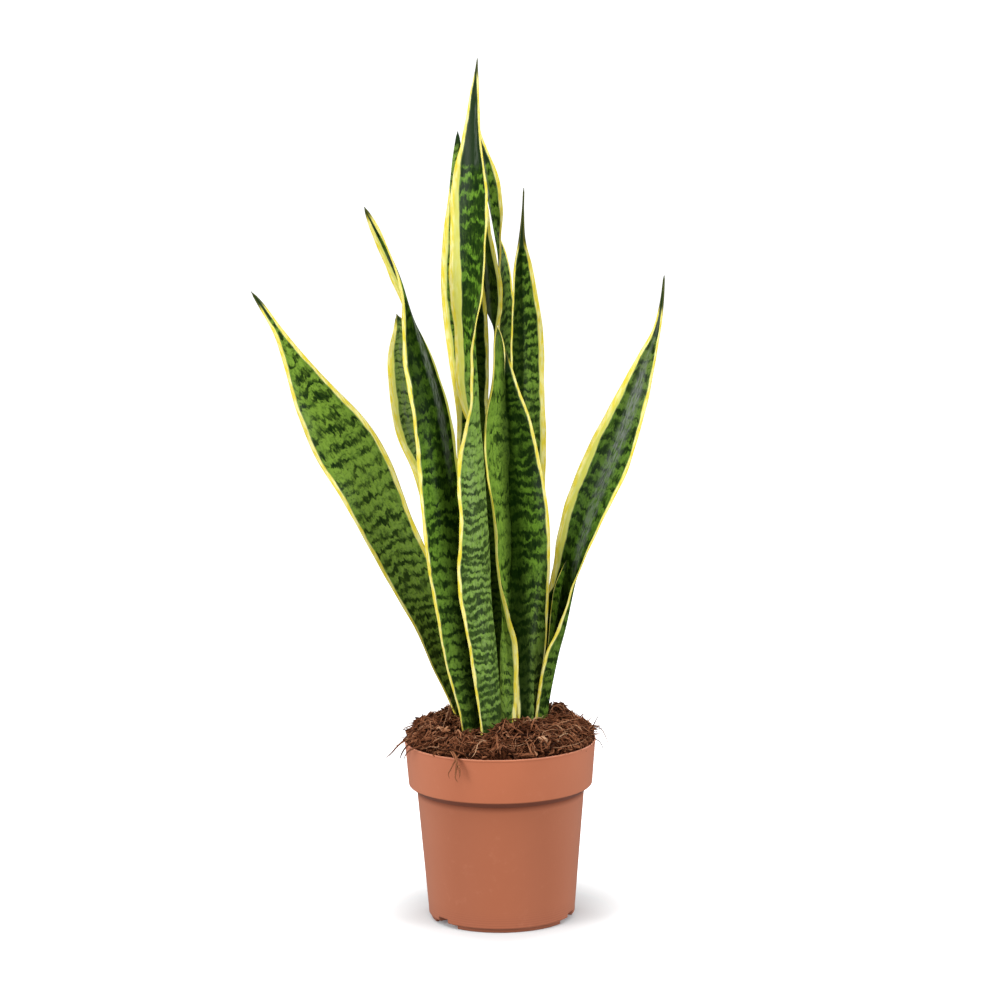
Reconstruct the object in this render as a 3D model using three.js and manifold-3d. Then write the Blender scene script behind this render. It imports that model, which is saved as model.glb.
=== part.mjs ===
// Potted snake plant: a plastic nursery pot filled with coir, and eleven sword
// leaves that stand in it. Millimetres, +Z up. The origin is the middle of the
// pot's underside. +X is the plant's right as seen from its front, which faces -Y.

import * as THREE from "three";
import { mergeVertices } from "three/addons/utils/BufferGeometryUtils.js";
import Module from "manifold-3d";

const wasm = await Module();
wasm.setup();

// ---------------------------------------------------------------- driving sizes

const GAP = 0.35; // clearance between pieces that touch

const POT = {
  height: 160.5,
  rimRadius: 85,
  bandHeight: 39.5, // the wide collar under the rim
  bandTaper: 3.4, // how much narrower the collar is at its lower edge
  bandStep: 7.2, // how far the collar stands out from the wall under it
  bandChamfer: 5.5, // height of the slope from the collar down to the wall
  wallFootRadius: 65.2,
  footInset: 2.2, // the foot ring lies inside the wall's lower edge
  footHeight: 3,
  footWidth: 2.6,
  padRadius: 38, // flat middle of the underside, level with the foot
  channelHeight: 3, // the drain channel between pad and foot
  thickness: 1.5,
  lip: 1.2, // height of the rounded edge at the rim
  segments: 60,
};

// The wall's lower edge is notched, and the foot ring is broken more widely there.
const NOTCH = { width: 13, height: 7.5, depth: 12, angles: [-143, -21, 97], ringGap: 33 };
const DRAIN = { radius: 4, circle: 49, count: 6 };

const SOIL = {
  edgeHeight: 161.5, // soil level at the wall
  moundHeight: 177, // soil level under the leaves
  moundPower: 3.6, // how flat the mound's middle is
  roughness: 0.8, // height of one wave of its clods
  wallGap: 0.85, // coir shrinks a little from the wall
  rings: 6,
  segments: 40,
};

const FIBRE = { count: 44, radius: 0.9, sides: 3, length: 34, seed: 11 };
const CHIP = { count: 18, length: 11, width: 5, thickness: 2.4, seed: 29 };

const BLADE = {
  facets: 4, // strips across the width
  steps: 2, // rings per station
  baseThickness: 3.8,
  middleThickness: 2.2,
  tipThickness: 1.3,
  marginThickness: 0.9,
  slimness: 0.14, // most that the spine adds to the thickness, per unit of width
  waveHeight: 1.3, // the blade's edges undulate by this much
  waveLength: 96,
};

// ------------------------------------------------------------ solids and helpers

const radians = THREE.MathUtils.degToRad;

function toSolid(geometry) {
  const bare = geometry.clone();
  bare.deleteAttribute("normal");
  bare.deleteAttribute("uv");
  const merged = mergeVertices(bare, 1e-4);
  return new wasm.Manifold(new wasm.Mesh({
    numProp: 3,
    vertProperties: Float32Array.from(merged.attributes.position.array),
    triVerts: Uint32Array.from(merged.index.array),
  }));
}

function toGeometry(solid) {
  const mesh = solid.getMesh();
  const geometry = new THREE.BufferGeometry();
  geometry.setAttribute("position", new THREE.BufferAttribute(mesh.vertProperties, 3));
  geometry.setIndex(new THREE.BufferAttribute(mesh.triVerts, 1));
  geometry.computeVertexNormals();
  return geometry;
}

// A solid of revolution about +Z from a closed [radius, height] outline that runs
// up the outside first.
function turned(outline, segments) {
  const points = outline.map(([radius, height]) => new THREE.Vector2(radius, height));
  const geometry = new THREE.LatheGeometry(points, segments);
  geometry.rotateX(Math.PI / 2);
  return geometry;
}

// A repeatable stream of numbers from 0 to 1.
function seededRandom(seed) {
  let state = seed;
  return () => {
    state = (state * 16807) % 2147483647;
    return state / 2147483647;
  };
}

function largestPiece(solid) {
  const pieces = solid.decompose();
  return pieces.reduce((best, piece) => (piece.volume() > best.volume() ? piece : best));
}

// ------------------------------------------------------------------------- leaves

// Stations run from the sunk base to the tip: height, x, y, width measured round
// the blade, turn of the blade about its own length (0 faces the front, positive
// takes the right edge back), and curl of its cross-section (positive is hollow
// towards the front).
const LEAVES = {
  leaf_tall_front: [
    [150, -9, -26, 26, 35, -150],
    [185, -9, -28, 29, 35, -150],
    [245, -15, -31, 38, 45, -130],
    [300, -21, -34, 46, 48, -110],
    [363, -23, -37, 50, 58, -115],
    [425, -26, -38, 50, 72, -125],
    [475, -28, -38, 50, 105, -115],
    [530, -28, -38, 49, 114, -80],
    [580, -24, -38, 48, 131, -60],
    [640, -22, -38, 42, 141, -50],
    [690, -19, -37, 24, 141, -50],
    [728, -16.3, -36, 11.5, 138, -40],
    [745, -14.5, -36, 6, 130, -20],
    [762, -13, -36, 1.6, 90, 0],
  ],
  leaf_left_middle: [
    [150, -24, -12, 24, 35, -140],
    [187, -27, -14, 27, 35, -140],
    [228, -33, -18, 35, 30, -120],
    [260, -36, -21, 41, 28, -100],
    [308, -40.5, -26, 46, 30, -85],
    [355, -46.5, -30, 48, 32, -75],
    [410, -51.5, -32, 48, 44, -60],
    [462, -57.8, -35, 48, 46, -56],
    [505, -68, -37, 40, 54, -70],
    [540, -78.6, -39, 34, 80, -95],
    [572, -85.5, -42, 27, 102, -80],
    [600, -95.5, -44, 19, 122, -60],
    [622, -104.5, -46, 10, 140, -40],
    [637, -111, -47, 1.6, 140, 0],
  ],
  leaf_left_low: [
    [150, -22, 22, 26, 50, 130],
    [191, -34, 20, 31, 45, 120],
    [231, -47.5, 18, 38, 35, 100],
    [262, -57, 16, 43, 30, 80],
    [300, -73.5, 13, 46, 25, 60],
    [345, -95, 9, 49, 20, 50],
    [394, -116, 5, 56, 15, 40],
    [430, -136.5, 2, 56, 8, 35],
    [465, -157.5, -2, 41, 10, 40],
    [497, -174, -5, 23, 10, 50],
    [526, -189, -7, 9.5, 10, 50],
    [549, -203, -8, 5.5, 10, 30],
    [562, -212, -9, 1.6, 10, 0],
  ],
  leaf_left_inner: [
    [150, -15, 2, 18, 20, 100],
    [190, -20, 1, 22, 20, 100],
    [240, -28, -1, 28, 20, 80],
    [300, -37, -3, 33, 15, 60],
    [350, -45, -2, 35, 15, 50],
    [404, -57, -3, 35, 10, 40],
    [443, -72, -4, 36, 10, 40],
    [490, -78, -5, 34, 10, 40],
    [515, -80, -6, 26, 10, 40],
    [530, -83, -7, 12, 10, 30],
    [541, -86, -7, 1.6, 10, 0],
  ],
  leaf_tall_left: [
    [150, -8, 15, 18, 0, 100],
    [190, -9, 17, 22, 0, 100],
    [250, -10, 16.5, 24, 0, 80],
    [310, -11, 14, 34, 0, 60],
    [400, -20, 8, 30, 12, 50],
    [450, -21, 4, 31, 18, 50],
    [488, -22.8, 0, 35, 10, 50],
    [534, -26, -2, 39, 0, 35],
    [570, -29, -2, 37, 0, 35],
    [604, -31, -1, 29, 5, 35],
    [640, -30, 1, 21, 10, 35],
    [674, -31, 2, 10, 10, 30],
    [698, -31, 3, 1.6, 10, 0],
  ],
  leaf_centre: [
    [150, 8, -3, 24, 120, 110],
    [187, 9, -4, 27, 120, 110],
    [238, 10, -5, 34, 118, 95],
    [277, 10, -7, 38, 86, 75],
    [316, 6, -8, 42, 78, 60],
    [366, 4, -9, 45, 70, 60],
    [420, 0, -9, 46, 64, 60],
    [450, 0, -9, 46, 64, 60],
    [486, 3.4, -6, 46, 76.5, 40],
    [520, 2.3, -2.3, 46, 85.5, 26],
    [543, -1.8, 0, 45, 107.5, 25],
    [575, -3.4, 2, 44, 111, 30],
    [610, -7.8, 3, 30, 115, 50],
    [645, -12, 3, 17, 118, 50],
    [680, -14, 3, 1.6, 118, 0],
  ],
  leaf_tall_back: [
    [150, 8, 35, 20, 0, 100],
    [190, 9, 37, 24, 0, 100],
    [250, 11, 43, 30, 20, 80],
    [330, 14, 51, 36, 50, 60],
    [400, 14, 54, 40, 75, 50],
    [460, 13, 52, 42, 82, 50],
    [482, 11.5, 50, 42, 80, 50],
    [519, 9.5, 47, 42, 73, 50],
    [548, 10, 44, 41, 72, 50],
    [578, 9, 40, 40, 77, 50],
    [602, 5.2, 38, 38, 95, 50],
    [630, 1.2, 37, 33, 111, 50],
    [660, -3.6, 36, 22, 123, 50],
    [677, -8, 36, 14, 125, 50],
    [693, -12, 36, 6, 125, 30],
    [708, -14, 36, 1.6, 125, 0],
  ],
  leaf_right_back: [
    [150, 19, 20, 20, 0, 110],
    [190, 20, 22, 23, 0, 110],
    [260, 23, 27, 30, 0, 100],
    [330, 26, 31, 36, 12, 95],
    [410, 28, 32, 38, 25, 95],
    [465, 28, 31, 37, 25, 92],
    [501, 28, 30, 35, 22, 90],
    [535, 27, 30, 30, 18, 90],
    [573, 25, 30, 20, 12, 85],
    [600, 24, 30, 7, 0, 60],
    [625, 25, 30, 2.4, 0, 0],
    [647, 26, 30, 1.4, 0, 0],
  ],
  leaf_right_front: [
    [150, 22, 7, 22, 45, -50],
    [187, 24, 9, 26, 45, -50],
    [235, 26, 14.5, 35, 28, -70],
    [278, 25, 20, 42, 8, -70],
    [338, 24, 24, 47, 0, -60],
    [379, 21, 25, 45, 0, -60],
    [435, 16, 24, 33, 0, -60],
    [468, 12, 22, 18, 0, -50],
    [490, 10, 22, 8, 0, -30],
    [505, 8, 22, 1.6, 0, 0],
  ],
  leaf_right_low: [
    [150, 31.5, 21, 27, -95, 150],
    [187, 32.8, 20.5, 33, -94, 155],
    [233, 38.4, 18.7, 45, -81, 155],
    [262, 46, 17, 47, -71, 142],
    [300, 55.5, 13.5, 46, -62, 108],
    [327, 64, 10, 43, -45, 80],
    [372, 79.8, 6, 46, -38, 60],
    [410, 97, 3, 46, -28, 45],
    [450, 113.5, 0, 35, -28, 40],
    [498, 131, -3, 20, -33, 35],
    [521, 139.5, -4, 12, -50, 30],
    [545, 144.5, -5, 6, -60, 10],
    [572, 147, -6, 1.5, -60, 0],
  ],
  leaf_right_spear: [
    [150, 34.5, 22, 6, -75, 40],
    [190, 37.5, 21.5, 7, -75, 40],
    [240, 45.2, 19, 9, -70, 40],
    [278, 50, 16.5, 10, -58, 40],
    [294, 53, 14.8, 9, -50, 30],
    [308, 57.2, 13.5, 5, -45, 20],
    [318, 60.6, 13, 1.4, -40, 0],
  ],
};

const LEAF_COLOURS = {
  leaf_left_inner: 0x4f7a35,
  leaf_right_spear: 0x3d6a2c,
};

// The blade's rings: for each, its centre, its axes and its section sizes.
function bladeRings(stations, topHeight = Infinity) {
  const used = stations.filter(([height]) => height <= topHeight);
  const along = new THREE.CatmullRomCurve3(
    used.map(([z, x, y]) => new THREE.Vector3(x, y, z)), false, "catmullrom", 0.5);
  const section = new THREE.CatmullRomCurve3(
    used.map(([, , , width, turn, curl]) => new THREE.Vector3(width, turn, curl)),
    false, "catmullrom", 0.5);
  const count = (used.length - 1) * BLADE.steps;
  const depthAxis = new THREE.Vector3(0, 1, 0);
  const rings = [];
  for (let i = 0; i <= count; i += 1) {
    const t = i / count;
    const [width, turn, curl] = section.getPoint(t).toArray();
    const centre = along.getPoint(t);
    const upward = along.getTangent(t);
    const side = depthAxis.clone().cross(upward).normalize();
    const back = upward.clone().cross(side);
    rings.push({
      centre,
      across: side.clone().multiplyScalar(Math.cos(radians(turn)))
        .addScaledVector(back, Math.sin(radians(turn))),
      facing: back.clone().multiplyScalar(Math.cos(radians(turn)))
        .addScaledVector(side, -Math.sin(radians(turn))),
      width: Math.max(width, 1.4),
      curl: radians(Math.abs(curl) < 2 ? 2 : curl),
      share: (centre.z - stations[0][0]) / (stations.at(-1)[0] - stations[0][0]),
      upward,
    });
  }
  return rings;
}

// Thickest along the spine near the base. A narrow blade is thinner too.
function bladeThickness(share, width, acrossShare) {
  const lengthwise = share < 0.4
    ? THREE.MathUtils.lerp(BLADE.baseThickness, BLADE.middleThickness, share / 0.4)
    : THREE.MathUtils.lerp(BLADE.middleThickness, BLADE.tipThickness, (share - 0.4) / 0.6);
  const spine = Math.min(lengthwise, BLADE.marginThickness + BLADE.slimness * width);
  return BLADE.marginThickness + (spine - BLADE.marginThickness) * (1 - acrossShare ** 2);
}

// A closed blade. Both faces are split into triangles alike. grow swells it all
// round, which makes the hole that a leaf stands in.
function bladeGeometry(rings, grow = 0) {
  const positions = [];
  const strips = BLADE.facets;
  rings.forEach((ring, i) => {
    const lift = i === 0 ? -grow : 0;
    const radius = ring.width / ring.curl;
    const grownWidth = 1 + (2 * grow) / ring.width;
    const edgeWave = BLADE.waveHeight * Math.min(1, ring.width / 30) * Math.min(1, 3 * ring.share);
    for (const face of [-1, 1]) {
      for (let j = 0; j <= strips; j += 1) {
        const u = (2 * j) / strips - 1;
        const angle = (u * ring.curl * grownWidth) / 2;
        const phase = (2 * Math.PI * ring.centre.z) / BLADE.waveLength + (u > 0 ? 2.1 : 0);
        const half = bladeThickness(ring.share, ring.width, u) / 2 + grow;
        const outward = ring.across.clone().multiplyScalar(Math.sin(angle))
          .addScaledVector(ring.facing, Math.cos(angle));
        const point = ring.centre.clone()
          .addScaledVector(ring.across, radius * Math.sin(angle))
          .addScaledVector(ring.facing, radius * (Math.cos(angle) - Math.cos(ring.curl / 2)))
          .addScaledVector(ring.facing, edgeWave * u * u * Math.sin(phase))
          .addScaledVector(outward, face * half)
          .addScaledVector(ring.upward, lift);
        positions.push(point.x, point.y, point.z);
      }
    }
  });
  const near = (i, j) => i * 2 * (strips + 1) + j;
  const far = (i, j) => near(i, j) + strips + 1;
  const faces = [];
  const last = rings.length - 1;
  for (let i = 0; i < last; i += 1) {
    for (let j = 0; j < strips; j += 1) {
      faces.push(near(i, j), near(i, j + 1), near(i + 1, j + 1));
      faces.push(near(i, j), near(i + 1, j + 1), near(i + 1, j));
      faces.push(far(i, j), far(i + 1, j + 1), far(i, j + 1));
      faces.push(far(i, j), far(i + 1, j), far(i + 1, j + 1));
    }
    faces.push(near(i, 0), near(i + 1, 0), far(i + 1, 0));
    faces.push(near(i, 0), far(i + 1, 0), far(i, 0));
    faces.push(near(i, strips), far(i + 1, strips), near(i + 1, strips));
    faces.push(near(i, strips), far(i, strips), far(i + 1, strips));
  }
  for (let j = 0; j < strips; j += 1) {
    faces.push(near(0, j), far(0, j + 1), near(0, j + 1));
    faces.push(near(0, j), far(0, j), far(0, j + 1));
    faces.push(near(last, j), near(last, j + 1), far(last, j + 1));
    faces.push(near(last, j), far(last, j + 1), far(last, j));
  }
  const geometry = new THREE.BufferGeometry();
  geometry.setAttribute("position", new THREE.Float32BufferAttribute(positions, 3));
  geometry.setIndex(faces);
  geometry.computeVertexNormals();
  return geometry;
}

// The plain hole in the soil that one leaf stands in, cut well past the soil's top.
function leafHole(stations) {
  const holeTop = SOIL.moundHeight + 80;
  return toSolid(bladeGeometry(bladeRings(stations, holeTop), GAP));
}

// ---------------------------------------------------------------------------- pot

const bandFoot = POT.height - POT.bandHeight;
const bandFootRadius = POT.rimRadius - POT.bandTaper;
const wallTop = bandFoot - POT.bandChamfer;
const wallTopRadius = bandFootRadius - POT.bandStep;
const footRadius = POT.wallFootRadius - POT.footInset;
const floorTop = POT.channelHeight + POT.thickness;

function potShell() {
  const t = POT.thickness;
  const outline = [
    [0, 0],
    [POT.padRadius, 0],
    [POT.padRadius + POT.channelHeight, POT.channelHeight],
    [footRadius - POT.footWidth, POT.channelHeight],
    [footRadius - POT.footWidth, 0],
    [footRadius, 0],
    [footRadius, POT.footHeight],
    [POT.wallFootRadius, POT.footHeight + 1],
    [wallTopRadius, wallTop],
    [bandFootRadius, bandFoot],
    [POT.rimRadius - POT.lip / 3, POT.height - 1.5 * POT.lip],
    [POT.rimRadius, POT.height - POT.lip],
    [POT.rimRadius - POT.lip / 3, POT.height],
    [POT.rimRadius - t, POT.height],
    [bandFootRadius - t, bandFoot + 1],
    [wallTopRadius - t, wallTop + 1],
    [POT.wallFootRadius - t, floorTop],
    [POT.padRadius + POT.channelHeight, floorTop],
    [POT.padRadius, t],
    [0, t],
  ];
  return toSolid(turned(outline, POT.segments));
}

function footCut(angle, width, height) {
  const box = new THREE.BoxGeometry(NOTCH.depth, width, 2 * height);
  box.translate(POT.wallFootRadius, 0, 0);
  box.rotateZ(radians(angle));
  return toSolid(box);
}

function drainHole(index) {
  const hole = new THREE.CylinderGeometry(DRAIN.radius, DRAIN.radius, 30, 16);
  hole.rotateX(Math.PI / 2);
  hole.translate(DRAIN.circle, 0, 0);
  hole.rotateZ((2 * Math.PI * (index + 0.5)) / DRAIN.count);
  return toSolid(hole);
}

function potGeometry() {
  let pot = potShell();
  for (const angle of NOTCH.angles) {
    pot = pot.subtract(footCut(angle, NOTCH.width, NOTCH.height));
    pot = pot.subtract(footCut(angle, NOTCH.ringGap, POT.footHeight));
  }
  for (let i = 0; i < DRAIN.count; i += 1) pot = pot.subtract(drainHole(i));
  return toGeometry(pot);
}

// --------------------------------------------------------------------------- soil

// Height of the smooth mound at a radius.
function moundHeight(radius) {
  const share = Math.min(1, radius / (POT.rimRadius - POT.thickness));
  const rise = SOIL.moundHeight - SOIL.edgeHeight;
  return SOIL.edgeHeight + rise * (1 - share ** SOIL.moundPower);
}

// Clods on the mound: waves that cross at three angles and fade out at the wall.
function clods(x, y) {
  const fade = THREE.MathUtils.clamp((POT.rimRadius - 6 - Math.hypot(x, y)) / 12, 0, 1);
  const waves = Math.sin(0.31 * x + 0.17 * y) + Math.sin(0.22 * x - 0.33 * y + 1.3)
    + Math.sin(0.47 * y + 0.12 * x + 2.6);
  return SOIL.roughness * fade * waves;
}

function soilBody() {
  const clear = POT.thickness + SOIL.wallGap;
  const rimInside = POT.rimRadius - clear;
  const outline = [
    [0, POT.thickness + GAP],
    [POT.padRadius - 1, POT.thickness + GAP],
    [POT.padRadius + POT.channelHeight - 1, floorTop + GAP],
    [POT.wallFootRadius - clear, floorTop + GAP],
    [wallTopRadius - clear, wallTop + 1],
    [bandFootRadius - clear, bandFoot + 1 + 2 * GAP],
    [rimInside, POT.height - 1],
  ];
  for (let i = SOIL.rings; i >= 0; i -= 1) {
    const radius = (rimInside - 1) * (i / SOIL.rings);
    outline.push([radius, moundHeight(radius)]);
  }
  const geometry = turned(outline, SOIL.segments);
  const position = geometry.attributes.position;
  for (let i = 0; i < position.count; i += 1) {
    if (position.getZ(i) < POT.height) continue;
    const lift = clods(position.getX(i), position.getY(i));
    position.setZ(i, position.getZ(i) + lift);
  }
  return toSolid(geometry);
}

// One coir fibre: a bent thread that rises out of the mound and dips back in.
function coirFibre(random) {
  const bearing = 2 * Math.PI * random();
  const radius = (POT.rimRadius - 12) * Math.sqrt(random());
  const heading = 2 * Math.PI * random();
  const reach = FIBRE.length * (0.5 + 0.7 * random());
  const bend = 8 * (random() - 0.5);
  const points = [-0.5, -0.2, 0.15, 0.5].map((share, index) => {
    const x = radius * Math.cos(bearing) + share * reach * Math.cos(heading)
      - (index % 2) * bend * Math.sin(heading);
    const y = radius * Math.sin(bearing) + share * reach * Math.sin(heading)
      + (index % 2) * bend * Math.cos(heading);
    const away = Math.hypot(x, y);
    const pull = Math.min(1, (POT.rimRadius - 7) / away);
    const arch = index === 1 || index === 2 ? 1.8 : -1.6;
    return new THREE.Vector3(x * pull, y * pull, moundHeight(away * pull) + clods(x, y) + arch);
  });
  const section = new THREE.Shape();
  for (let i = 0; i < FIBRE.sides; i += 1) {
    const angle = (2 * Math.PI * i) / FIBRE.sides;
    const corner = [FIBRE.radius * Math.cos(angle), FIBRE.radius * Math.sin(angle)];
    if (i === 0) section.moveTo(...corner);
    else section.lineTo(...corner);
  }
  return toSolid(new THREE.ExtrudeGeometry(section, {
    steps: 3,
    extrudePath: new THREE.CatmullRomCurve3(points),
  }));
}

// One flake of husk lying half sunk in the mound.
function huskChip(random) {
  const bearing = 2 * Math.PI * random();
  const radius = (POT.rimRadius - 16) * Math.sqrt(random());
  const x = radius * Math.cos(bearing);
  const y = radius * Math.sin(bearing);
  const size = 0.6 + 0.7 * random();
  const chip = new THREE.BoxGeometry(CHIP.length * size, CHIP.width * size, CHIP.thickness);
  chip.rotateX(0.5 * (random() - 0.5));
  chip.rotateY(0.6 * (random() - 0.5));
  chip.rotateZ(Math.PI * random());
  chip.translate(x, y, moundHeight(radius) + clods(x, y) + 0.2);
  return toSolid(chip);
}

function soilGeometry() {
  const fibreRandom = seededRandom(FIBRE.seed);
  const chipRandom = seededRandom(CHIP.seed);
  let soil = soilBody();
  for (let i = 0; i < FIBRE.count; i += 1) soil = soil.add(coirFibre(fibreRandom));
  for (let i = 0; i < CHIP.count; i += 1) soil = soil.add(huskChip(chipRandom));
  for (const stations of Object.values(LEAVES)) soil = soil.subtract(leafHole(stations));
  return toGeometry(largestPiece(soil));
}

// ------------------------------------------------------------------------ assembly

function addMesh(parent, name, geometry, color, roughness) {
  const material = new THREE.MeshStandardMaterial({ color, roughness, metalness: 0 });
  const mesh = new THREE.Mesh(geometry, material);
  mesh.name = name;
  parent.add(mesh);
}

const plant = new THREE.Group();
addMesh(plant, "pot", potGeometry(), 0xb96f52, 0.55);
addMesh(plant, "soil", soilGeometry(), 0x5b3324, 0.95);
for (const [name, stations] of Object.entries(LEAVES)) {
  const color = LEAF_COLOURS[name] ?? 0x476f30;
  addMesh(plant, name, bladeGeometry(bladeRings(stations)), color, 0.35);
}

export default plant;
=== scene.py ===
from math import pi

import bpy
import numpy as np
from mathutils import Matrix


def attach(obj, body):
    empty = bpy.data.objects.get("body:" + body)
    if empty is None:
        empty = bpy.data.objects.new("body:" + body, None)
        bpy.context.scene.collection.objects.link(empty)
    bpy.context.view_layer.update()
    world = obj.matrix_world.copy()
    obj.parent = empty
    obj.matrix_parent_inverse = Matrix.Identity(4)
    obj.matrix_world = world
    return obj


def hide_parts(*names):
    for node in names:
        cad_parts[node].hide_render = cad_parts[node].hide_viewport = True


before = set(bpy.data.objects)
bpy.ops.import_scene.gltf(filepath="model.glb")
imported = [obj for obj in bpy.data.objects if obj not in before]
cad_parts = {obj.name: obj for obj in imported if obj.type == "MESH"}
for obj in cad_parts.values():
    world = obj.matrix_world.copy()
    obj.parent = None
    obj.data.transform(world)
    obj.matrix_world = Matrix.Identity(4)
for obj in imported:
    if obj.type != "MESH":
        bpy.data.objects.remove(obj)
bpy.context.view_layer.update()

scene = bpy.context.scene


# ---- Camera -----------------------------------------------------------------
# A long lens three metres in front of the plant, a little higher than its tallest
# tip and looking slightly down, held with a trace of roll.

CAMERA_DISTANCE = 3.0
CAMERA_HEIGHT = 0.845
CAMERA_ASIDE = 0.0022
CAMERA_PITCH = 0.1554
CAMERA_ROLL = 0.0108
FOCAL_LENGTHS = 3.453     # focal length over the width of the picture
SENSOR = 36.0

camera_data = bpy.data.cameras.new("camera")
camera_data.sensor_width = SENSOR
camera_data.lens = FOCAL_LENGTHS * SENSOR
camera_data.clip_end = 50.0
camera = bpy.data.objects.new("camera", camera_data)
camera.matrix_world = (
    Matrix.Translation((CAMERA_ASIDE, -CAMERA_DISTANCE, CAMERA_HEIGHT))
    @ Matrix.Rotation(pi / 2 - CAMERA_PITCH, 4, "X")
    @ Matrix.Rotation(-CAMERA_ROLL, 4, "Z"))
scene.collection.objects.link(camera)
scene.camera = camera


# ---- Studio floor -----------------------------------------------------------
# A white paper sweep: flat under the pot and curving up far behind it, so that
# no horizon shows. It isn't part of the plant.

SWEEP_HALF_WIDTH = 7.0
SWEEP_FRONT = -12.0
SWEEP_BACK = 3.2
SWEEP_RADIUS = 1.6
SWEEP_TOP = 6.0
SWEEP_STEPS = 25
PAPER_WHITE = (0.74, 0.74, 0.74)
PAPER_GLOW = 0.80
# Painted shadow: near the pot the paper glows only this dimly, where the pot's shade would fall.
POT_SHADE = (0.05, 0.09, 0.105)
SHADE_START, SHADE_END = 0.055, 0.190     # from the pot's middle


class Wiring:
    """Nodes of one material written as expressions.

    A Wiring makes nodes in its material's tree. A Signal wraps one output, and
    + - and * on it add Math nodes.
    """

    def __init__(self, material):
        material.use_nodes = True
        self.material = material
        self.tree = material.node_tree
        self.surface = self.tree.nodes["Principled BSDF"]

    def node(self, kind, settings=None, out=0, **sockets):
        """Add a node: its settings first, then its sockets by name or index (i0, i1)."""
        made = self.tree.nodes.new("ShaderNode" + kind)
        for key, value in (settings or {}).items():
            if key == "stops":
                ramp = made.color_ramp
                while len(ramp.elements) < len(value):
                    ramp.elements.new(1.0)
                for element, (place, colour) in zip(ramp.elements, value):
                    element.position = place
                    element.color = (*colour, 1.0)
            else:
                setattr(made, key, value)
        for key, value in sockets.items():
            name = int(key[1:]) if key[0] == "i" and key[1:].isdigit() else key.replace("_", " ")
            self.plug(value, made.inputs[name])
        return Signal(self, made.outputs[out])

    def plug(self, value, socket):
        if isinstance(value, Signal):
            self.tree.links.new(value.socket, socket)
        elif isinstance(value, tuple) and len(value) == 3 and socket.type == "RGBA":
            socket.default_value = (*value, 1.0)
        else:
            socket.default_value = value

    def maths(self, operation, *values):
        numbered = {f"i{i}": value for i, value in enumerate(values)}
        return self.node("Math", {"operation": operation}, **numbered)

    def mix(self, share, first, second):
        """Colour mix: first where share is 0 and second where it is 1."""
        return self.node("Mix", {"data_type": "RGBA"}, out=2, i0=share, i6=first, i7=second)

    def layers(self, colour, *layers):
        """Lay (share, tone) pairs over a colour, one after the other."""
        for share, tone in layers:
            colour = self.mix(share, colour, tone)
        return colour

    def steps(self, value, low, high):
        """A smooth step from 0 where value is low to 1 where it is high."""
        return self.node("MapRange", {"interpolation_type": "SMOOTHSTEP"}, i0=value, i1=low, i2=high)

    def where(self):
        """The place on the piece, in metres."""
        return self.node("TexCoord", out=3)

    def noise(self, where, scale=1.0, detail=2.0, roughness=0.5):
        return self.node("TexNoise", Vector=where, Scale=scale, Detail=detail, Roughness=roughness)

    def split(self, vector):
        """The three numbers of a vector."""
        first = self.node("SeparateXYZ", i0=vector)
        outputs = first.socket.node.outputs
        return first, Signal(self, outputs[1]), Signal(self, outputs[2])

    def attribute(self, name):
        """The three numbers stored under this name at each point."""
        return self.split(self.node("Attribute", {"attribute_name": name}, out=1))

    def finish(self, **sockets):
        for key, value in sockets.items():
            self.plug(value, self.surface.inputs[key.replace("_", " ")])
        return self.material


class Signal:
    """One node output that arithmetic works on."""

    def __init__(self, wiring, socket):
        self.wiring = wiring
        self.socket = socket

    def __add__(self, other):
        return self.wiring.maths("ADD", self, other)

    def __sub__(self, other):
        return self.wiring.maths("SUBTRACT", self, other)

    def __rsub__(self, other):
        return self.wiring.maths("SUBTRACT", other, self)

    def __mul__(self, other):
        return self.wiring.maths("MULTIPLY", self, other)

    __radd__ = __add__


def new_piece(name, points, faces, material):
    """A mesh object at the origin from an (n, 3) array in metres and index rows."""
    mesh = bpy.data.meshes.new(name)
    mesh.from_pydata(points.tolist(), [], [tuple(face) for face in faces])
    mesh.validate()
    mesh.polygons.foreach_set("use_smooth", np.full(len(mesh.polygons), True))
    mesh.materials.append(material)
    piece = bpy.data.objects.new(name, mesh)
    scene.collection.objects.link(piece)
    return piece


def grid_faces(rows, columns, wrap=False):
    """Quads of a rows x columns grid of points numbered row by row.

    wrap joins the last column back to the first.
    """
    i = np.arange(rows - 1)[:, None]
    j = np.arange(columns if wrap else columns - 1)[None, :]
    k = (j + 1) % columns
    corners = np.stack(np.broadcast_arrays(
        i * columns + j, i * columns + k, (i + 1) * columns + k, (i + 1) * columns + j), -1)
    return corners.reshape(-1, 4)


def paper_sweep():
    """Floor line, a quarter circle, then a wall line, carried along X."""
    turn = np.linspace(0, pi / 2, SWEEP_STEPS)
    along = np.concatenate([
        [SWEEP_FRONT], SWEEP_BACK + SWEEP_RADIUS * np.sin(turn), [SWEEP_BACK + SWEEP_RADIUS]])
    height = np.concatenate([[0.0], SWEEP_RADIUS * (1 - np.cos(turn)), [SWEEP_TOP]])
    across = np.array([-SWEEP_HALF_WIDTH, SWEEP_HALF_WIDTH])
    points = np.stack([
        np.tile(across, len(along)), np.repeat(along, 2), np.repeat(height, 2)], -1)
    return points, grid_faces(len(along), 2)


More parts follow.
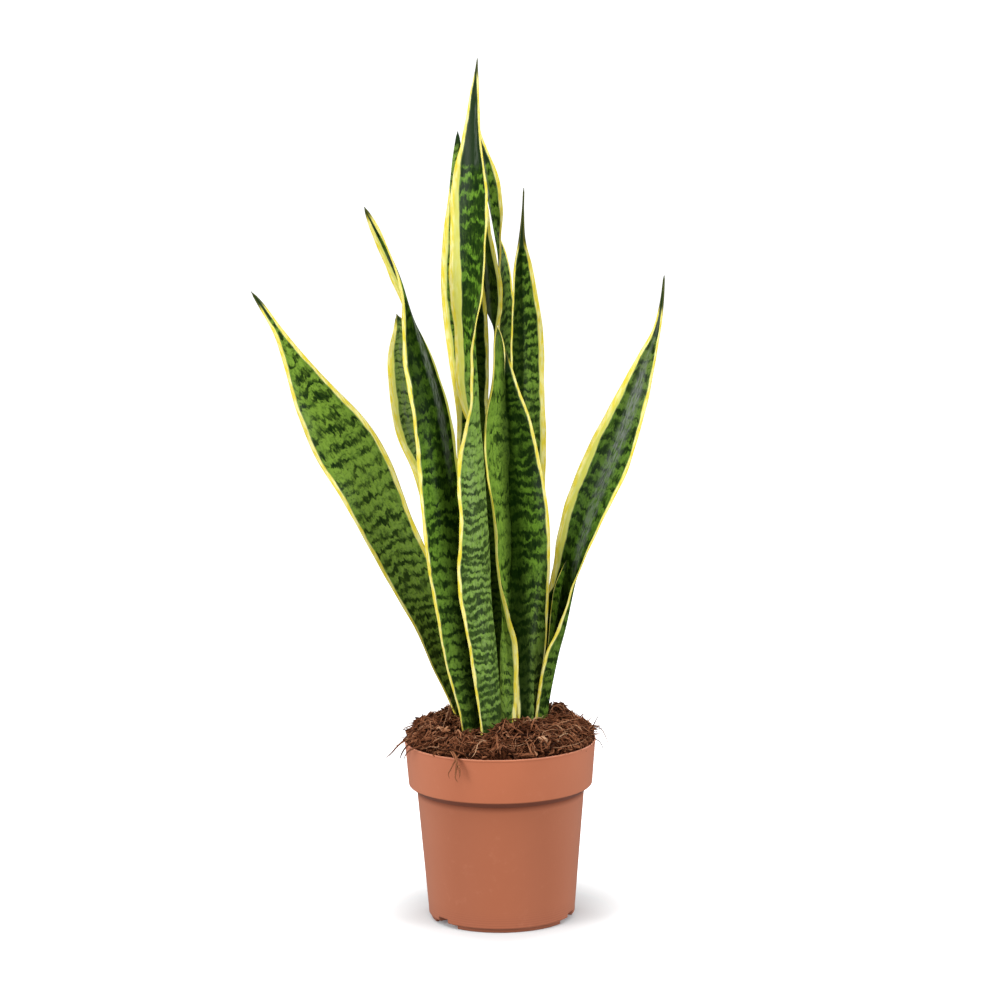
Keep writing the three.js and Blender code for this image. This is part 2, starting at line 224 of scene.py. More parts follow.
def sweep_paper():
    """White paper that glows, with a painted shadow round the pot where it glows dimmer than far behind it.
    """
    wiring = Wiring(bpy.data.materials.new("sweep_paper"))
    x, y, _ = wiring.split(wiring.where())
    away = wiring.maths("SQRT", x * x + y * y)
    # Painted shadow round the pot: the glow rises from POT_SHADE near the pot's middle to full white past
    # SHADE_END.
    glow = wiring.mix(wiring.steps(away, SHADE_START, SHADE_END), POT_SHADE, (1.0, 1.0, 1.0))
    return wiring.finish(Base_Color=PAPER_WHITE, Roughness=0.9, Specular_IOR_Level=0.0,
                         Emission_Color=glow, Emission_Strength=PAPER_GLOW)


sweep = new_piece("sweep", *paper_sweep(), sweep_paper())
sweep.visible_diffuse = False
sweep.visible_glossy = False


# ---- Studio light -----------------------------------------------------------
# A dim white tent with two tall soft boxes at the sides, so that what faces a side
# is bright and the gaps between the leaves stay dark. One more shines from above
# and two weak ones from behind.

WORLD_STRENGTH = 0.42
PLANT_MIDDLE = (0.0, 0.0, 0.38)

# Each soft box: its place, its width and height in metres, and its power in watts.
SOFT_BOXES = {
    "side_left": ((-2.0, -1.35, 0.95), 1.0, 2.0, 44.0),
    "side_right": ((2.0, -1.35, 0.95), 1.0, 2.0, 40.0),
    "above": ((-0.2, -0.9, 2.4), 1.2, 1.2, 24.0),
    "behind_left": ((-1.3, 1.7, 1.2), 0.6, 1.6, 10.0),
    "behind_right": ((1.3, 1.7, 1.2), 0.6, 1.6, 10.0),
}

world = bpy.data.worlds.new("studio")
world.use_nodes = True
world.node_tree.nodes["Background"].inputs["Color"].default_value = (1.0, 1.0, 1.0, 1.0)
world.node_tree.nodes["Background"].inputs["Strength"].default_value = WORLD_STRENGTH
world.cycles_visibility.glossy = False
scene.world = world
scene.view_settings.view_transform = "Standard"


def unit(vectors):
    return vectors / np.linalg.norm(vectors, axis=-1, keepdims=True)


def soft_light(name, place, target, width, height, power):
    """A rectangular area light at place that faces target."""
    data = bpy.data.lights.new(name, "AREA")
    data.shape = "RECTANGLE"
    data.size = width
    data.size_y = height
    data.energy = power
    light = bpy.data.objects.new(name, data)
    away = unit(np.subtract(place, target))
    side = unit(np.cross((0.0, 0.0, 1.0), away))
    up = np.cross(away, side)
    light.matrix_world = Matrix((
        (side[0], up[0], away[0], place[0]),
        (side[1], up[1], away[1], place[1]),
        (side[2], up[2], away[2], place[2]),
        (0, 0, 0, 1)))
    scene.collection.objects.link(light)


for name, (place, width, height, power) in SOFT_BOXES.items():
    soft_light(name, place, PLANT_MIDDLE, width, height, power)


# ---- Pot --------------------------------------------------------------------
# A thin nursery pot, injection moulded in terracotta-coloured plastic: a tall
# collar under the rim, a slope in to the tapered wall and a foot ring set in
# under it. Three notches in the wall's lower edge let the water out.

RIM_RADIUS = 0.085
POT_HEIGHT = 0.1605
BAND_HEIGHT = 0.0395
BAND_TAPER = 0.0034
BAND_STEP = 0.0072
BAND_CHAMFER = 0.0055
WALL_FOOT_RADIUS = 0.0652
FOOT_INSET = 0.0022
FOOT_HEIGHT = 0.003
FOOT_WIDTH = 0.0026
PAD_RADIUS = 0.038
CHANNEL_HEIGHT = 0.003
POT_THICKNESS = 0.0015
NOTCH_WIDTH = 0.013
NOTCH_HEIGHT = 0.0075
NOTCH_DEPTH = 0.012
NOTCH_ANGLES = (-143, -21, 97)
RING_GAP = 0.033
SKIRT_TOP = 0.0085        # up to here the wall's lower edge is nearly upright
SKIRT_DRAFT = 0.0002
SKIRT_BEVEL = 0.001
RIM_LIP = 0.0009          # half the height of the lip at the rim
LIP_PROUD = 0.0004
INNER_RAISE = 0.001       # how far the inner corners stand above the outer ones
FILLET = 0.0007
HAIR = 0.0004             # between the two rings of points where a notch ends
POT_COLUMNS = 360
COLUMN_GAP = 0.001        # radians between the two columns at a notch's side
SLACK = 0.0001

BAND_FOOT = POT_HEIGHT - BAND_HEIGHT
BAND_FOOT_RADIUS = RIM_RADIUS - BAND_TAPER
WALL_TOP = BAND_FOOT - BAND_CHAMFER
WALL_TOP_RADIUS = BAND_FOOT_RADIUS - BAND_STEP
FOOT_RADIUS = WALL_FOOT_RADIUS - FOOT_INSET
RECESS_RADIUS = WALL_FOOT_RADIUS - NOTCH_DEPTH
FLOOR_TOP = CHANNEL_HEIGHT + POT_THICKNESS

TERRACOTTA = (0.500, 0.150, 0.068)
TERRACOTTA_LIGHT = (0.560, 0.172, 0.080)
# Painted shade that darkens the wall below the collar.
WALL_SHADE = (0.380, 0.118, 0.056)
# Painted reflection that makes the pot paler towards its left and right sides.
SIDE_HIGHLIGHT = (0.72, 0.33, 0.22)
SCUFFED = (0.64, 0.25, 0.14)
# Painted shade that darkens the pot towards its foot.
POT_FOOT_SHADE = (0.42, 0.13, 0.070)
GROOVE_TONE = (0.28, 0.075, 0.035)
COLLAR_SHADOW = (0.150, 0.030, 0.010)
SOILED = (0.130, 0.042, 0.022)
# Painted highlight along the lip at the rim.
LIP_HIGHLIGHT = (0.78, 0.36, 0.22)
GROOVE_PITCH = 0.0021


def rounded(corners, radius, arc=5):
    """Round each inner corner of a polyline with a quadratic curve.

    The curve starts and ends radius away from the corner, or halfway along a
    side that is shorter, and bends towards the corner itself.
    """
    corners = np.array(corners, float)
    out = [corners[:1]]
    share = np.linspace(0, 1, arc)[:, None]
    for before, corner, after in zip(corners[:-2], corners[1:-1], corners[2:]):
        back, ahead = before - corner, after - corner
        back *= min(radius, np.linalg.norm(back) / 2) / np.linalg.norm(back)
        ahead *= min(radius, np.linalg.norm(ahead) / 2) / np.linalg.norm(ahead)
        start, end = corner + back, corner + ahead
        out.append((1 - share) ** 2 * start + 2 * share * (1 - share) * corner + share ** 2 * end)
    out.append(corners[-1:])
    return np.concatenate(out)


def pot_outline():
    """The wall's section from the middle of the underside, up outside, over the
    rim and down inside to the middle of the floor, as (radius, height)."""
    t = POT_THICKNESS
    return rounded([
        (0.0, 0.0), (PAD_RADIUS, 0.0),
        (PAD_RADIUS + CHANNEL_HEIGHT, CHANNEL_HEIGHT),
        (RECESS_RADIUS - HAIR, CHANNEL_HEIGHT), (RECESS_RADIUS, CHANNEL_HEIGHT),
        (FOOT_RADIUS - FOOT_WIDTH, CHANNEL_HEIGHT), (FOOT_RADIUS - FOOT_WIDTH, 0.0),
        (FOOT_RADIUS, 0.0), (FOOT_RADIUS, FOOT_HEIGHT),
        (WALL_FOOT_RADIUS, FOOT_HEIGHT + SKIRT_BEVEL), (WALL_FOOT_RADIUS + SKIRT_DRAFT, SKIRT_TOP),
        (WALL_TOP_RADIUS, WALL_TOP), (BAND_FOOT_RADIUS, BAND_FOOT),
        (RIM_RADIUS - LIP_PROUD, POT_HEIGHT - 2.2 * RIM_LIP), (RIM_RADIUS, POT_HEIGHT - 2 * RIM_LIP),
        (RIM_RADIUS, POT_HEIGHT), (RIM_RADIUS - t, POT_HEIGHT),
        (BAND_FOOT_RADIUS - t, BAND_FOOT + INNER_RAISE), (WALL_TOP_RADIUS - t, WALL_TOP + INNER_RAISE),
        (WALL_FOOT_RADIUS - t, FLOOR_TOP),
        (RECESS_RADIUS - t, FLOOR_TOP), (RECESS_RADIUS - t - HAIR, FLOOR_TOP),
        (PAD_RADIUS + CHANNEL_HEIGHT, FLOOR_TOP), (PAD_RADIUS, t), (0.0, t)], FILLET)


def nursery_pot():
    """The outline carried round the Z axis, with the drainage notches pressed in.

    Two columns stand a hair apart at each side of a notch. Between them what lies
    outside the recess's radius and below its roof is raised: the underside to the
    roof, and the floor inside to one thickness over it. The foot ring is raised
    likewise over a wider gap.
    """
    outline = pot_outline()
    half, wide = NOTCH_WIDTH / 2 / WALL_FOOT_RADIUS, RING_GAP / 2 / WALL_FOOT_RADIUS
    middles = np.radians(NOTCH_ANGLES)[:, None]
    sides = np.array([-wide - COLUMN_GAP, -wide, -half - COLUMN_GAP, -half,
                      half, half + COLUMN_GAP, wide, wide + COLUMN_GAP])
    even = 2 * pi * np.arange(POT_COLUMNS) / POT_COLUMNS - pi
    angle = np.sort(np.concatenate([even, (middles + sides).ravel()]))
    notch, gap = ((np.abs(angle - middles) < reach + COLUMN_GAP / 2).any(0) for reach in (half, wide))
    radius, height = (np.repeat(outline[:, i:i + 1], len(angle), 1) for i in (0, 1))
    under = np.arange(len(outline))[:, None] < outline[:, 1].argmax()
    for columns, skin, least_radius, roof in (
            (notch, under, RECESS_RADIUS, NOTCH_HEIGHT),
            (gap, under, RECESS_RADIUS, FOOT_HEIGHT),
            (notch, ~under, RECESS_RADIUS - POT_THICKNESS, NOTCH_HEIGHT + POT_THICKNESS)):
        raised = columns & skin & (radius > least_radius - SLACK)
        height = np.where(raised, np.maximum(height, roof), height)
    points = np.stack([radius * np.cos(angle), radius * np.sin(angle), height], -1)
    return points.reshape(-1, 3), grid_faces(len(outline), len(angle), wrap=True)


def pot_plastic():
    """Cloudy, scuffed plastic with fine moulding grooves and a soiled edge at the foot. A painted reflection
    makes it paler at its sides, painted shade darkens the wall below the collar and towards the foot, and a
    painted shadow lies under the collar, with a painted highlight along the lip at the rim."""
    wiring = Wiring(bpy.data.materials.new("terracotta_plastic"))
    where = wiring.where()
    aside, _, height = wiring.split(where)
    cloud = wiring.noise(where, scale=22.0, detail=3.0)
    scuffs = wiring.steps(wiring.noise(where, scale=90.0, detail=5.0, roughness=0.7), 0.56, 0.78)
    grooves = wiring.maths("SINE", height * (2 * pi / GROOVE_PITCH))
    low = wiring.steps(height, 0.022, 0.004)
    under_collar = (wiring.steps(height, WALL_TOP - 0.006, WALL_TOP + 0.001)
                    * wiring.steps(height, BAND_FOOT + 0.0004, BAND_FOOT - 0.0012))
    below = wiring.steps(height, BAND_FOOT + 0.001, BAND_FOOT - 0.001)
    # painted reflection: paler with distance to the left and right of the middle
    side_highlight = wiring.steps(wiring.maths("ABSOLUTE", aside), 0.035, RIM_RADIUS)
    soiled = wiring.steps(height + (cloud - 0.5) * 0.006, 0.0034, 0.0022)
    # painted highlight along the top of the rim
    lip = wiring.steps(height, POT_HEIGHT - 0.0011, POT_HEIGHT - 0.0004)
    colour = wiring.layers(
        TERRACOTTA,
        (cloud, TERRACOTTA_LIGHT),
        # painted shade on the wall below the collar
        (below * 0.55, WALL_SHADE),
        (side_highlight * (0.24 + below * 0.14), SIDE_HIGHLIGHT),
        (scuffs * 0.20, SCUFFED),
        # painted shade towards the foot
        (low * 0.20, POT_FOOT_SHADE),
        (wiring.steps(grooves, 0.4, 1.0) * low * 0.34, GROOVE_TONE),
        (under_collar * 0.75, COLLAR_SHADOW),
        (soiled * (0.45 + scuffs * 0.3), SOILED),
        (lip * 0.3, LIP_HIGHLIGHT))
    relief = wiring.noise(where, scale=900.0) * 0.5 + grooves * (low * 0.4)
    bump = wiring.node("Bump", Strength=0.12, Distance=0.0004, Height=relief)
    return wiring.finish(Base_Color=colour, Roughness=0.50 + cloud * 0.10, Normal=bump,
                         Specular_IOR_Level=0.36, Sheen_Weight=0.08)


pot = new_piece("nursery_pot", *nursery_pot(), pot_plastic())
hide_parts("pot")
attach(pot, "root")


# ---- Leaves -----------------------------------------------------------------
# Eleven stiff sword leaves that grow up out of the pot, each one piece: a channel
# at its foot that opens, twists and narrows to a hard spine. Green with dark
# cross-bands, and a cream and yellow border down both margins.

BLADE_ACROSS = 41
BLADE_STEPS = 16
BASE_THICKNESS = 3.8      # millimetres, as all the sizes of the leaves are
MIDDLE_THICKNESS = 2.2
TIP_THICKNESS = 1.3
MIDDLE_SHARE = 0.4        # how far up the blade it is as thick as MIDDLE_THICKNESS
MARGIN_THICKNESS = 0.9
MARGIN_POWER = 24
SLIMNESS = 0.14
LEAST_WIDTH = 1.4
LEAST_CURL = 2.0
FULL_WIDTH = 30.0         # a blade narrower than this waves less
WAVE_HEIGHT = 1.3
WAVE_LENGTH = 96.0
WAVE_LEAD = 2.1           # radians that the wave of the second margin is ahead
RIPPLE_HEIGHT = 0.35
RIPPLE_LENGTH = 31.0
SPINE_POINT = 4.0
BORDER_SWINGS = [(0.35, 11.0, 1), (0.25, 4.3, 2)]     # reach, length, phase
BORDER_SHARE = 0.36       # of the blade's width, the most that a border takes
# Painted glow: how much light a border gives off of itself, where its leaf sets no table.
BORDER_GLOW = 0.3
# Painted shade at the foot of every leaf, darkest at the coir: height and how dark.
FOOT_SHADE = [(164, 0.85), (174, 0.40), (195, 0.12), (220, 0)]     # height, dusk
MM = 0.001

# Each leaf's stations from its foot to its tip: height, x, y, width of the blade
# along its surface, turn about its own length, and curl, in mm and degrees. Then
# tables over the height in mm, in which a bare number holds all the way: the width
# of the border at its first and second margin (none where it is less than 0), how
# much painted glow each gives off of itself (first_border_glow, second_border_glow), the
# spacing of the cross-bands in mm, how much of it they take (dense), how pale its green is,
# how deep, and how much painted shade darkens it (shade_by_height). painted_shade is the
# painted shade from its first margin (-1) to its second (1), and painted_shade_skins how much
# of that its two skins take. sheen is a painted sheen, a pale streak that stands in
# for a reflection: height, where across, half its width in mm and its strength. Last come
# the lengths in mm of the plain dark tip and of the bare spine, and the number of
# its pattern.
LEAVES = {
    "leaf_tall_front": dict(stations=[
        (150, -9, -26, 26, 35, -150), (185, -9, -28, 29, 35, -150), (245, -15, -31, 38, 45, -130),
        (300, -21, -34, 46, 48, -110), (363, -23, -37, 50, 58, -115), (425, -26, -38, 50, 72, -125),
        (475, -28, -38, 50, 105, -115), (530, -28, -38, 49, 114, -80), (580, -24, -38, 48, 131, -60),
        (640, -22, -38, 42, 141, -50), (690, -19, -37, 24, 141, -50), (728, -16.3, -36, 11.5, 138, -40),
        (745, -14.5, -36, 6, 130, -20), (762, -13, -36, 1.6, 90, 0)],
        first=[(150, 2.5), (400, 3), (560, 3.2), (700, 2.4), (762, 1)],
        second=[(150, 2), (250, 3.2), (330, 4.4), (420, 5), (480, 9), (560, 12), (620, 9.5), (660, 6),
            (690, 3), (720, 2.2), (762, 1)],
        spacing=[(150, 7), (400, 8), (470, 11), (560, 14), (700, 11), (762, 8)],
        dense=[(150, 0.95), (380, 0.70), (430, 0.45), (490, 0.55), (540, 1.0)],
        pale=[(150, 0.55), (400, 0.70), (480, 0.4), (520, 0)], deep=[(480, 0.6), (530, 0.9)], painted_shade=0,
        sheen=[(666, -0.35, 4, 0), (674, -0.35, 4, 0.35), (720, -0.3, 2, 0.3), (740, -0.3, 2, 0)],
        plain_tip=92, spine=14, pattern=1.0),
    "leaf_left_middle": dict(stations=[
        (150, -24, -12, 24, 35, -140), (187, -27, -14, 27, 35, -140), (228, -33, -18, 35, 30, -120),
        (260, -36, -21, 41, 28, -100), (308, -40.5, -26, 46, 30, -85), (355, -46.5, -30, 48, 32, -75),
        (410, -51.5, -32, 48, 44, -60), (462, -57.8, -35, 48, 46, -56), (505, -68, -37, 40, 54, -70),
        (540, -78.6, -39, 34, 80, -95), (572, -85.5, -42, 27, 102, -80), (600, -95.5, -44, 19, 122, -60),
        (622, -104.5, -46, 10, 140, -40), (637, -111, -47, 1.6, 140, 0)],
        first=[(150, 1.8), (300, 2.6), (500, 3.2), (560, 4), (605, 4.5), (637, 1.5)],
        second=[(150, 2), (300, 3.2), (400, 6.5), (510, 6.5), (550, 5), (575, 7.5), (605, 6.5), (637, 1)],
        spacing=[(150, 9), (300, 12), (450, 14), (637, 11)], dense=[(150, 0.72), (640, 0.7)],
        pale=[(150, 0.25), (300, 0.1), (400, 0)], deep=[(150, 0.5), (400, 0.8)],
        painted_shade=[(-1, 0.1), (-0.4, 0.3), (-0.05, 0.75), (0.3, 0.7), (0.5, 0.4), (1, 0.3)],
        shade_by_height=[(400, 0), (440, 0.5), (470, 0.8), (500, 0.85), (545, 0.85), (568, 0.2)],
        sheen=[(390, 0.35, 6, 0), (430, 0.28, 6.5, 0.8), (540, 0.15, 6, 0.8), (590, 0.1, 4, 0.3),
            (600, 0, 4, 0)],
        second_border_glow=[(390, 0.3), (410, 1), (520, 1), (540, 0.3)], plain_tip=24, spine=9, pattern=2.0),
    "leaf_left_low": dict(stations=[
        (150, -22, 22, 26, 50, 130), (191, -34, 20, 31, 45, 120), (231, -47.5, 18, 38, 35, 100),
        (262, -57, 16, 43, 30, 80), (300, -73.5, 13, 46, 25, 60), (345, -95, 9, 49, 20, 50),
        (394, -116, 5, 56, 15, 40), (430, -136.5, 2, 56, 8, 35), (465, -157.5, -2, 41, 10, 40),
        (497, -174, -5, 23, 10, 50), (526, -189, -7, 9.5, 10, 50), (549, -203, -8, 5.5, 10, 30),
        (562, -212, -9, 1.6, 10, 0)],
        first=[(150, 2), (300, 3), (430, 3.4), (520, 3), (562, 1)],
        second=[(150, 2.5), (300, 3.5), (430, 4.2), (520, 2.6), (562, 1)],
        spacing=[(150, 8), (300, 10), (380, 13), (480, 15), (562, 10)],
        dense=[(150, 0.70), (300, 0.66), (370, 0.56), (480, 0.60), (562, 0.7)],
        pale=[(150, 0.5), (350, 0.3), (450, 0.05)], deep=[(150, 0.2), (562, 0.35)], painted_shade=0, plain_tip=30,
        spine=16, pattern=3.0),
    "leaf_left_inner": dict(stations=[
        (150, -15, 2, 18, 20, 100), (190, -20, 1, 22, 20, 100), (240, -28, -1, 28, 20, 80),
        (300, -37, -3, 33, 15, 60), (350, -45, -2, 35, 15, 50), (404, -57, -3, 35, 10, 40),
        (443, -72, -4, 36, 10, 40), (490, -78, -5, 34, 10, 40), (515, -80, -6, 26, 10, 40),
        (530, -83, -7, 12, 10, 30), (541, -86, -7, 1.6, 10, 0)],
        first=[(150, 3), (400, 6.5), (500, 6.5), (541, 1)], second=[(150, 2), (400, 3), (541, 1)],
        first_border_glow=[(150, 1), (541, 0.9)], spacing=[(150, 5), (541, 5.5)],
        dense=[(150, 0.5), (541, 0.45)], pale=0.9, deep=0.1, painted_shade=[(-1, 0), (1, 0.1)],
        sheen=[(380, -0.3, 3, 0), (430, -0.3, 3, 0.35), (515, -0.2, 3, 0.35), (530, 0, 3, 0)], plain_tip=4,
        spine=7, pattern=4.0),
    "leaf_tall_left": dict(stations=[
        (150, -8, 15, 18, 0, 100), (190, -9, 17, 22, 0, 100), (250, -10, 16.5, 24, 0, 80),
        (310, -11, 14, 34, 0, 60), (400, -20, 8, 30, 12, 50), (450, -21, 4, 31, 18, 50),
        (488, -22.8, 0, 35, 10, 50), (534, -26, -2, 39, 0, 35), (570, -29, -2, 37, 0, 35),
        (604, -31, -1, 29, 5, 35), (640, -30, 1, 21, 10, 35), (674, -31, 2, 10, 10, 30),
        (698, -31, 3, 1.6, 10, 0)],
        first=[(150, 3), (430, 4), (460, 6), (610, 5), (640, 2), (655, -1)],
        second=[(430, -1), (450, 3), (600, 3), (650, 1), (660, -1)], first_border_glow=[(150, 0.9), (698, 0.5)],
        spacing=7, dense=[(150, 0.55), (698, 0.5)], pale=[(620, 0.1), (660, 0.4)], deep=0.4,
        painted_shade=[(-1, 0.05), (0, 0.3), (0.3, 0.9), (1, 0.95)], plain_tip=12, spine=9, pattern=5.0),
    "leaf_centre": dict(stations=[
        (150, 8, -3, 24, 120, 110), (187, 9, -4, 27, 120, 110), (238, 10, -5, 34, 118, 95),
        (277, 10, -7, 38, 86, 75), (316, 6, -8, 42, 78, 60), (366, 4, -9, 45, 70, 60),
        (420, 0, -9, 46, 64, 60), (450, 0, -9, 46, 64, 60), (486, 3.4, -6, 46, 76.5, 40),
        (520, 2.3, -2.3, 46, 85.5, 26), (543, -1.8, 0, 45, 107.5, 25), (575, -3.4, 2, 44, 111, 30),
        (610, -7.8, 3, 30, 115, 50), (645, -12, 3, 17, 118, 50), (680, -14, 3, 1.6, 118, 0)],
        first=[(150, 3), (200, 3.2), (250, 4.5), (290, 7), (340, 8), (450, 8), (520, 6.5), (600, 5),
            (640, 3), (680, 1)],
        first_border_glow=[(150, 0.4), (300, 0.8), (620, 0.7), (680, 0.3)],
        second=[(150, 3), (230, 2.5), (270, -1), (480, -1), (505, 2.5), (620, 3), (680, 1)],
        spacing=[(150, 8), (280, 11), (400, 14)], dense=[(150, 0.45), (400, 0.38)],
        pale=[(150, 0.4), (230, 0.35), (300, 0.15), (600, 0.1)], deep=[(150, 0.3), (260, 0.45)],
        painted_shade=[(-1, 0), (0.35, 0.05), (0.8, 0.75), (1, 0.9)], shade_by_height=[(490, 0), (530, 0.75), (680, 0.8)],
        sheen=[(500, 0.1, 8, 0), (540, 0.1, 8, 0.6), (620, 0.1, 6, 0.5), (650, 0, 4, 0)], plain_tip=40,
        spine=6, pattern=6.0),
    "leaf_tall_back": dict(stations=[
        (150, 8, 35, 20, 0, 100), (190, 9, 37, 24, 0, 100), (250, 11, 43, 30, 20, 80),
        (330, 14, 51, 36, 50, 60), (400, 14, 54, 40, 75, 50), (460, 13, 52, 42, 82, 50),
        (482, 11.5, 50, 42, 80, 50), (519, 9.5, 47, 42, 73, 50), (548, 10, 44, 41, 72, 50),
        (578, 9, 40, 40, 77, 50), (602, 5.2, 38, 38, 95, 50), (630, 1.2, 37, 33, 111, 50),
        (660, -3.6, 36, 22, 123, 50), (677, -8, 36, 14, 125, 50), (693, -12, 36, 6, 125, 30),
        (708, -14, 36, 1.6, 125, 0)],
        first=[(660, 3), (708, 1)], second=[(380, 0.8), (450, 3), (500, 3), (660, 2.4), (708, 1)],
        spacing=[(560, 8), (620, 10)], dense=0.6, pale=[(150, 0.2), (560, 0.3), (620, 0)],
        deep=[(150, 0.4), (708, 0.6)], painted_shade=0.3,
        sheen=[(590, 0.3, 5, 0), (615, 0.3, 5, 0.7), (665, 0.2, 4, 0.6), (690, 0, 2, 0)], plain_tip=40,
        spine=4, pattern=7.0),
    "leaf_right_back": dict(stations=[
        (150, 19, 20, 20, 0, 110), (190, 20, 22, 23, 0, 110), (260, 23, 27, 30, 0, 100),
        (330, 26, 31, 36, 12, 95), (410, 28, 32, 38, 25, 95), (465, 28, 31, 37, 25, 92),
        (501, 28, 30, 35, 22, 90), (535, 27, 30, 30, 18, 90), (573, 25, 30, 20, 12, 85),
        (600, 24, 30, 7, 0, 60), (625, 25, 30, 2.4, 0, 0), (647, 26, 30, 1.4, 0, 0)],
        first=[(150, 2), (500, 2.2), (580, 1.6), (647, 1)],
        second=[(150, 3), (380, 5), (520, 4.5), (580, 3), (647, 1)], second_border_glow=[(580, 0.7), (600, 0.3)],
        spacing=[(150, 8), (450, 9), (560, 10)], dense=[(150, 0.7), (450, 0.75), (560, 0.8)],
        pale=[(150, 0.1), (400, 0.3), (520, 0.1), (600, 0)], deep=[(150, 0.4), (560, 0.5)],
        painted_shade=[(-1, 0.8), (-0.5, 0.85), (-0.12, 1), (0, 0.4), (0.2, 0.1), (1, 0)], plain_tip=52, spine=50,
        pattern=8.0),
    "leaf_right_front": dict(stations=[
        (150, 22, 7, 22, 45, -50), (187, 24, 9, 26, 45, -50), (235, 26, 14.5, 35, 28, -70),
        (278, 25, 20, 42, 8, -70), (338, 24, 24, 47, 0, -60), (379, 21, 25, 45, 0, -60),
        (435, 16, 24, 33, 0, -60), (468, 12, 22, 18, 0, -50), (490, 10, 22, 8, 0, -30),
        (505, 8, 22, 1.6, 0, 0)],
        first=[(150, 2.6), (400, 3), (505, 1)], second=[(150, 2.8), (300, 3.6), (450, 3), (505, 1)],
        spacing=[(150, 9), (300, 12), (400, 10), (505, 7)], dense=[(150, 0.5), (230, 0.7), (505, 0.85)],
        pale=[(150, 0.6), (220, 0.5), (300, 0.1), (340, 0)], deep=[(150, 0.1), (250, 0.3), (320, 0.75)],
        painted_shade=[(-1, 1), (-0.2, 0.95), (0.15, 0.35), (0.5, 0.05), (1, 0)],
        second_border_glow=[(300, 1), (340, 0.3)],
        shade_by_height=[(300, 0), (350, 0.2), (390, 0.45), (430, 0.65), (505, 0.75)], plain_tip=20, spine=10,
        pattern=9.0),
    "leaf_right_low": dict(stations=[
        (150, 31.5, 21, 27, -95, 150), (187, 32.8, 20.5, 33, -94, 155), (233, 38.4, 18.7, 45, -81, 155),
        (262, 46, 17, 47, -71, 142), (300, 55.5, 13.5, 46, -62, 108), (327, 64, 10, 43, -45, 80),
        (372, 79.8, 6, 46, -38, 60), (410, 97, 3, 46, -28, 45), (450, 113.5, 0, 35, -28, 40),
        (498, 131, -3, 20, -33, 35), (521, 139.5, -4, 12, -50, 30), (545, 144.5, -5, 6, -60, 10),
        (572, 147, -6, 1.5, -60, 0)],
        first=[(278, -1), (290, 5), (320, 8), (400, 8.5), (470, 5), (520, 2.5), (572, 1)],
        second=[(150, 2), (240, 2.4), (300, 3.4), (450, 3.2), (520, 2), (572, 1)],
        spacing=[(150, 9), (300, 13)], dense=[(150, 0.6), (572, 0.65)],
        pale=[(150, 0.25), (280, 0.2), (300, 0.1), (440, 0.2), (500, 0.6)],
        deep=[(150, 0.5), (320, 1), (440, 0.8), (500, 0.2)],
        painted_shade=[(-1, 0), (-0.7, 0.3), (-0.4, 0.6), (0.4, 0.5), (0.8, 0.3), (1, 0.2)],
        shade_by_height=[(150, 0.95), (290, 0.9), (330, 0.65), (380, 0.25)], painted_shade_skins=(0.45, 1),
        sheen=[(300, 0.3, 7, 0), (335, 0.25, 8, 0.6), (400, 0.15, 9, 0.5), (470, 0.1, 7, 0.9),
            (505, 0, 3, 0.4)],
        plain_tip=56, spine=30, pattern=10.0),
    "leaf_right_spear": dict(stations=[
        (150, 34.5, 22, 6, -75, 40), (190, 37.5, 21.5, 7, -75, 40), (240, 45.2, 19, 9, -70, 40),
        (278, 50, 16.5, 10, -58, 40), (294, 53, 14.8, 9, -50, 30), (308, 57.2, 13.5, 5, -45, 20),
        (318, 60.6, 13, 1.4, -40, 0)],
        first=0.7, second=-1, spacing=8, dense=0.5, pale=0, deep=0.6, painted_shade=[(-1, 0.3), (1, 0.6)],
        plain_tip=8, spine=5, pattern=11.0),
}


def smooth_through(stations, steps):
    """Uniform Catmull-Rom curve through the rows of a table, steps points a span.

    The end rows are repeated as 2 first - second, so that the ends run straight.
    """
    rows = np.array(stations, float)
    rows = np.vstack([2 * rows[0] - rows[1], rows, 2 * rows[-1] - rows[-2]])
    t = (np.arange(steps) / steps)[None, :, None]
    before, start, end, after = (rows[i:len(rows) - 3 + i, None, :] for i in range(4))
    slope_in, slope_out = (end - before) / 2, (after - start) / 2
    spans = ((2 * start - 2 * end + slope_in + slope_out) * t ** 3
             + (3 * end - 3 * start - 2 * slope_in - slope_out) * t ** 2 + slope_in * t + start)
    return np.vstack([spans.reshape(-1, rows.shape[1]), rows[-2:-1]])


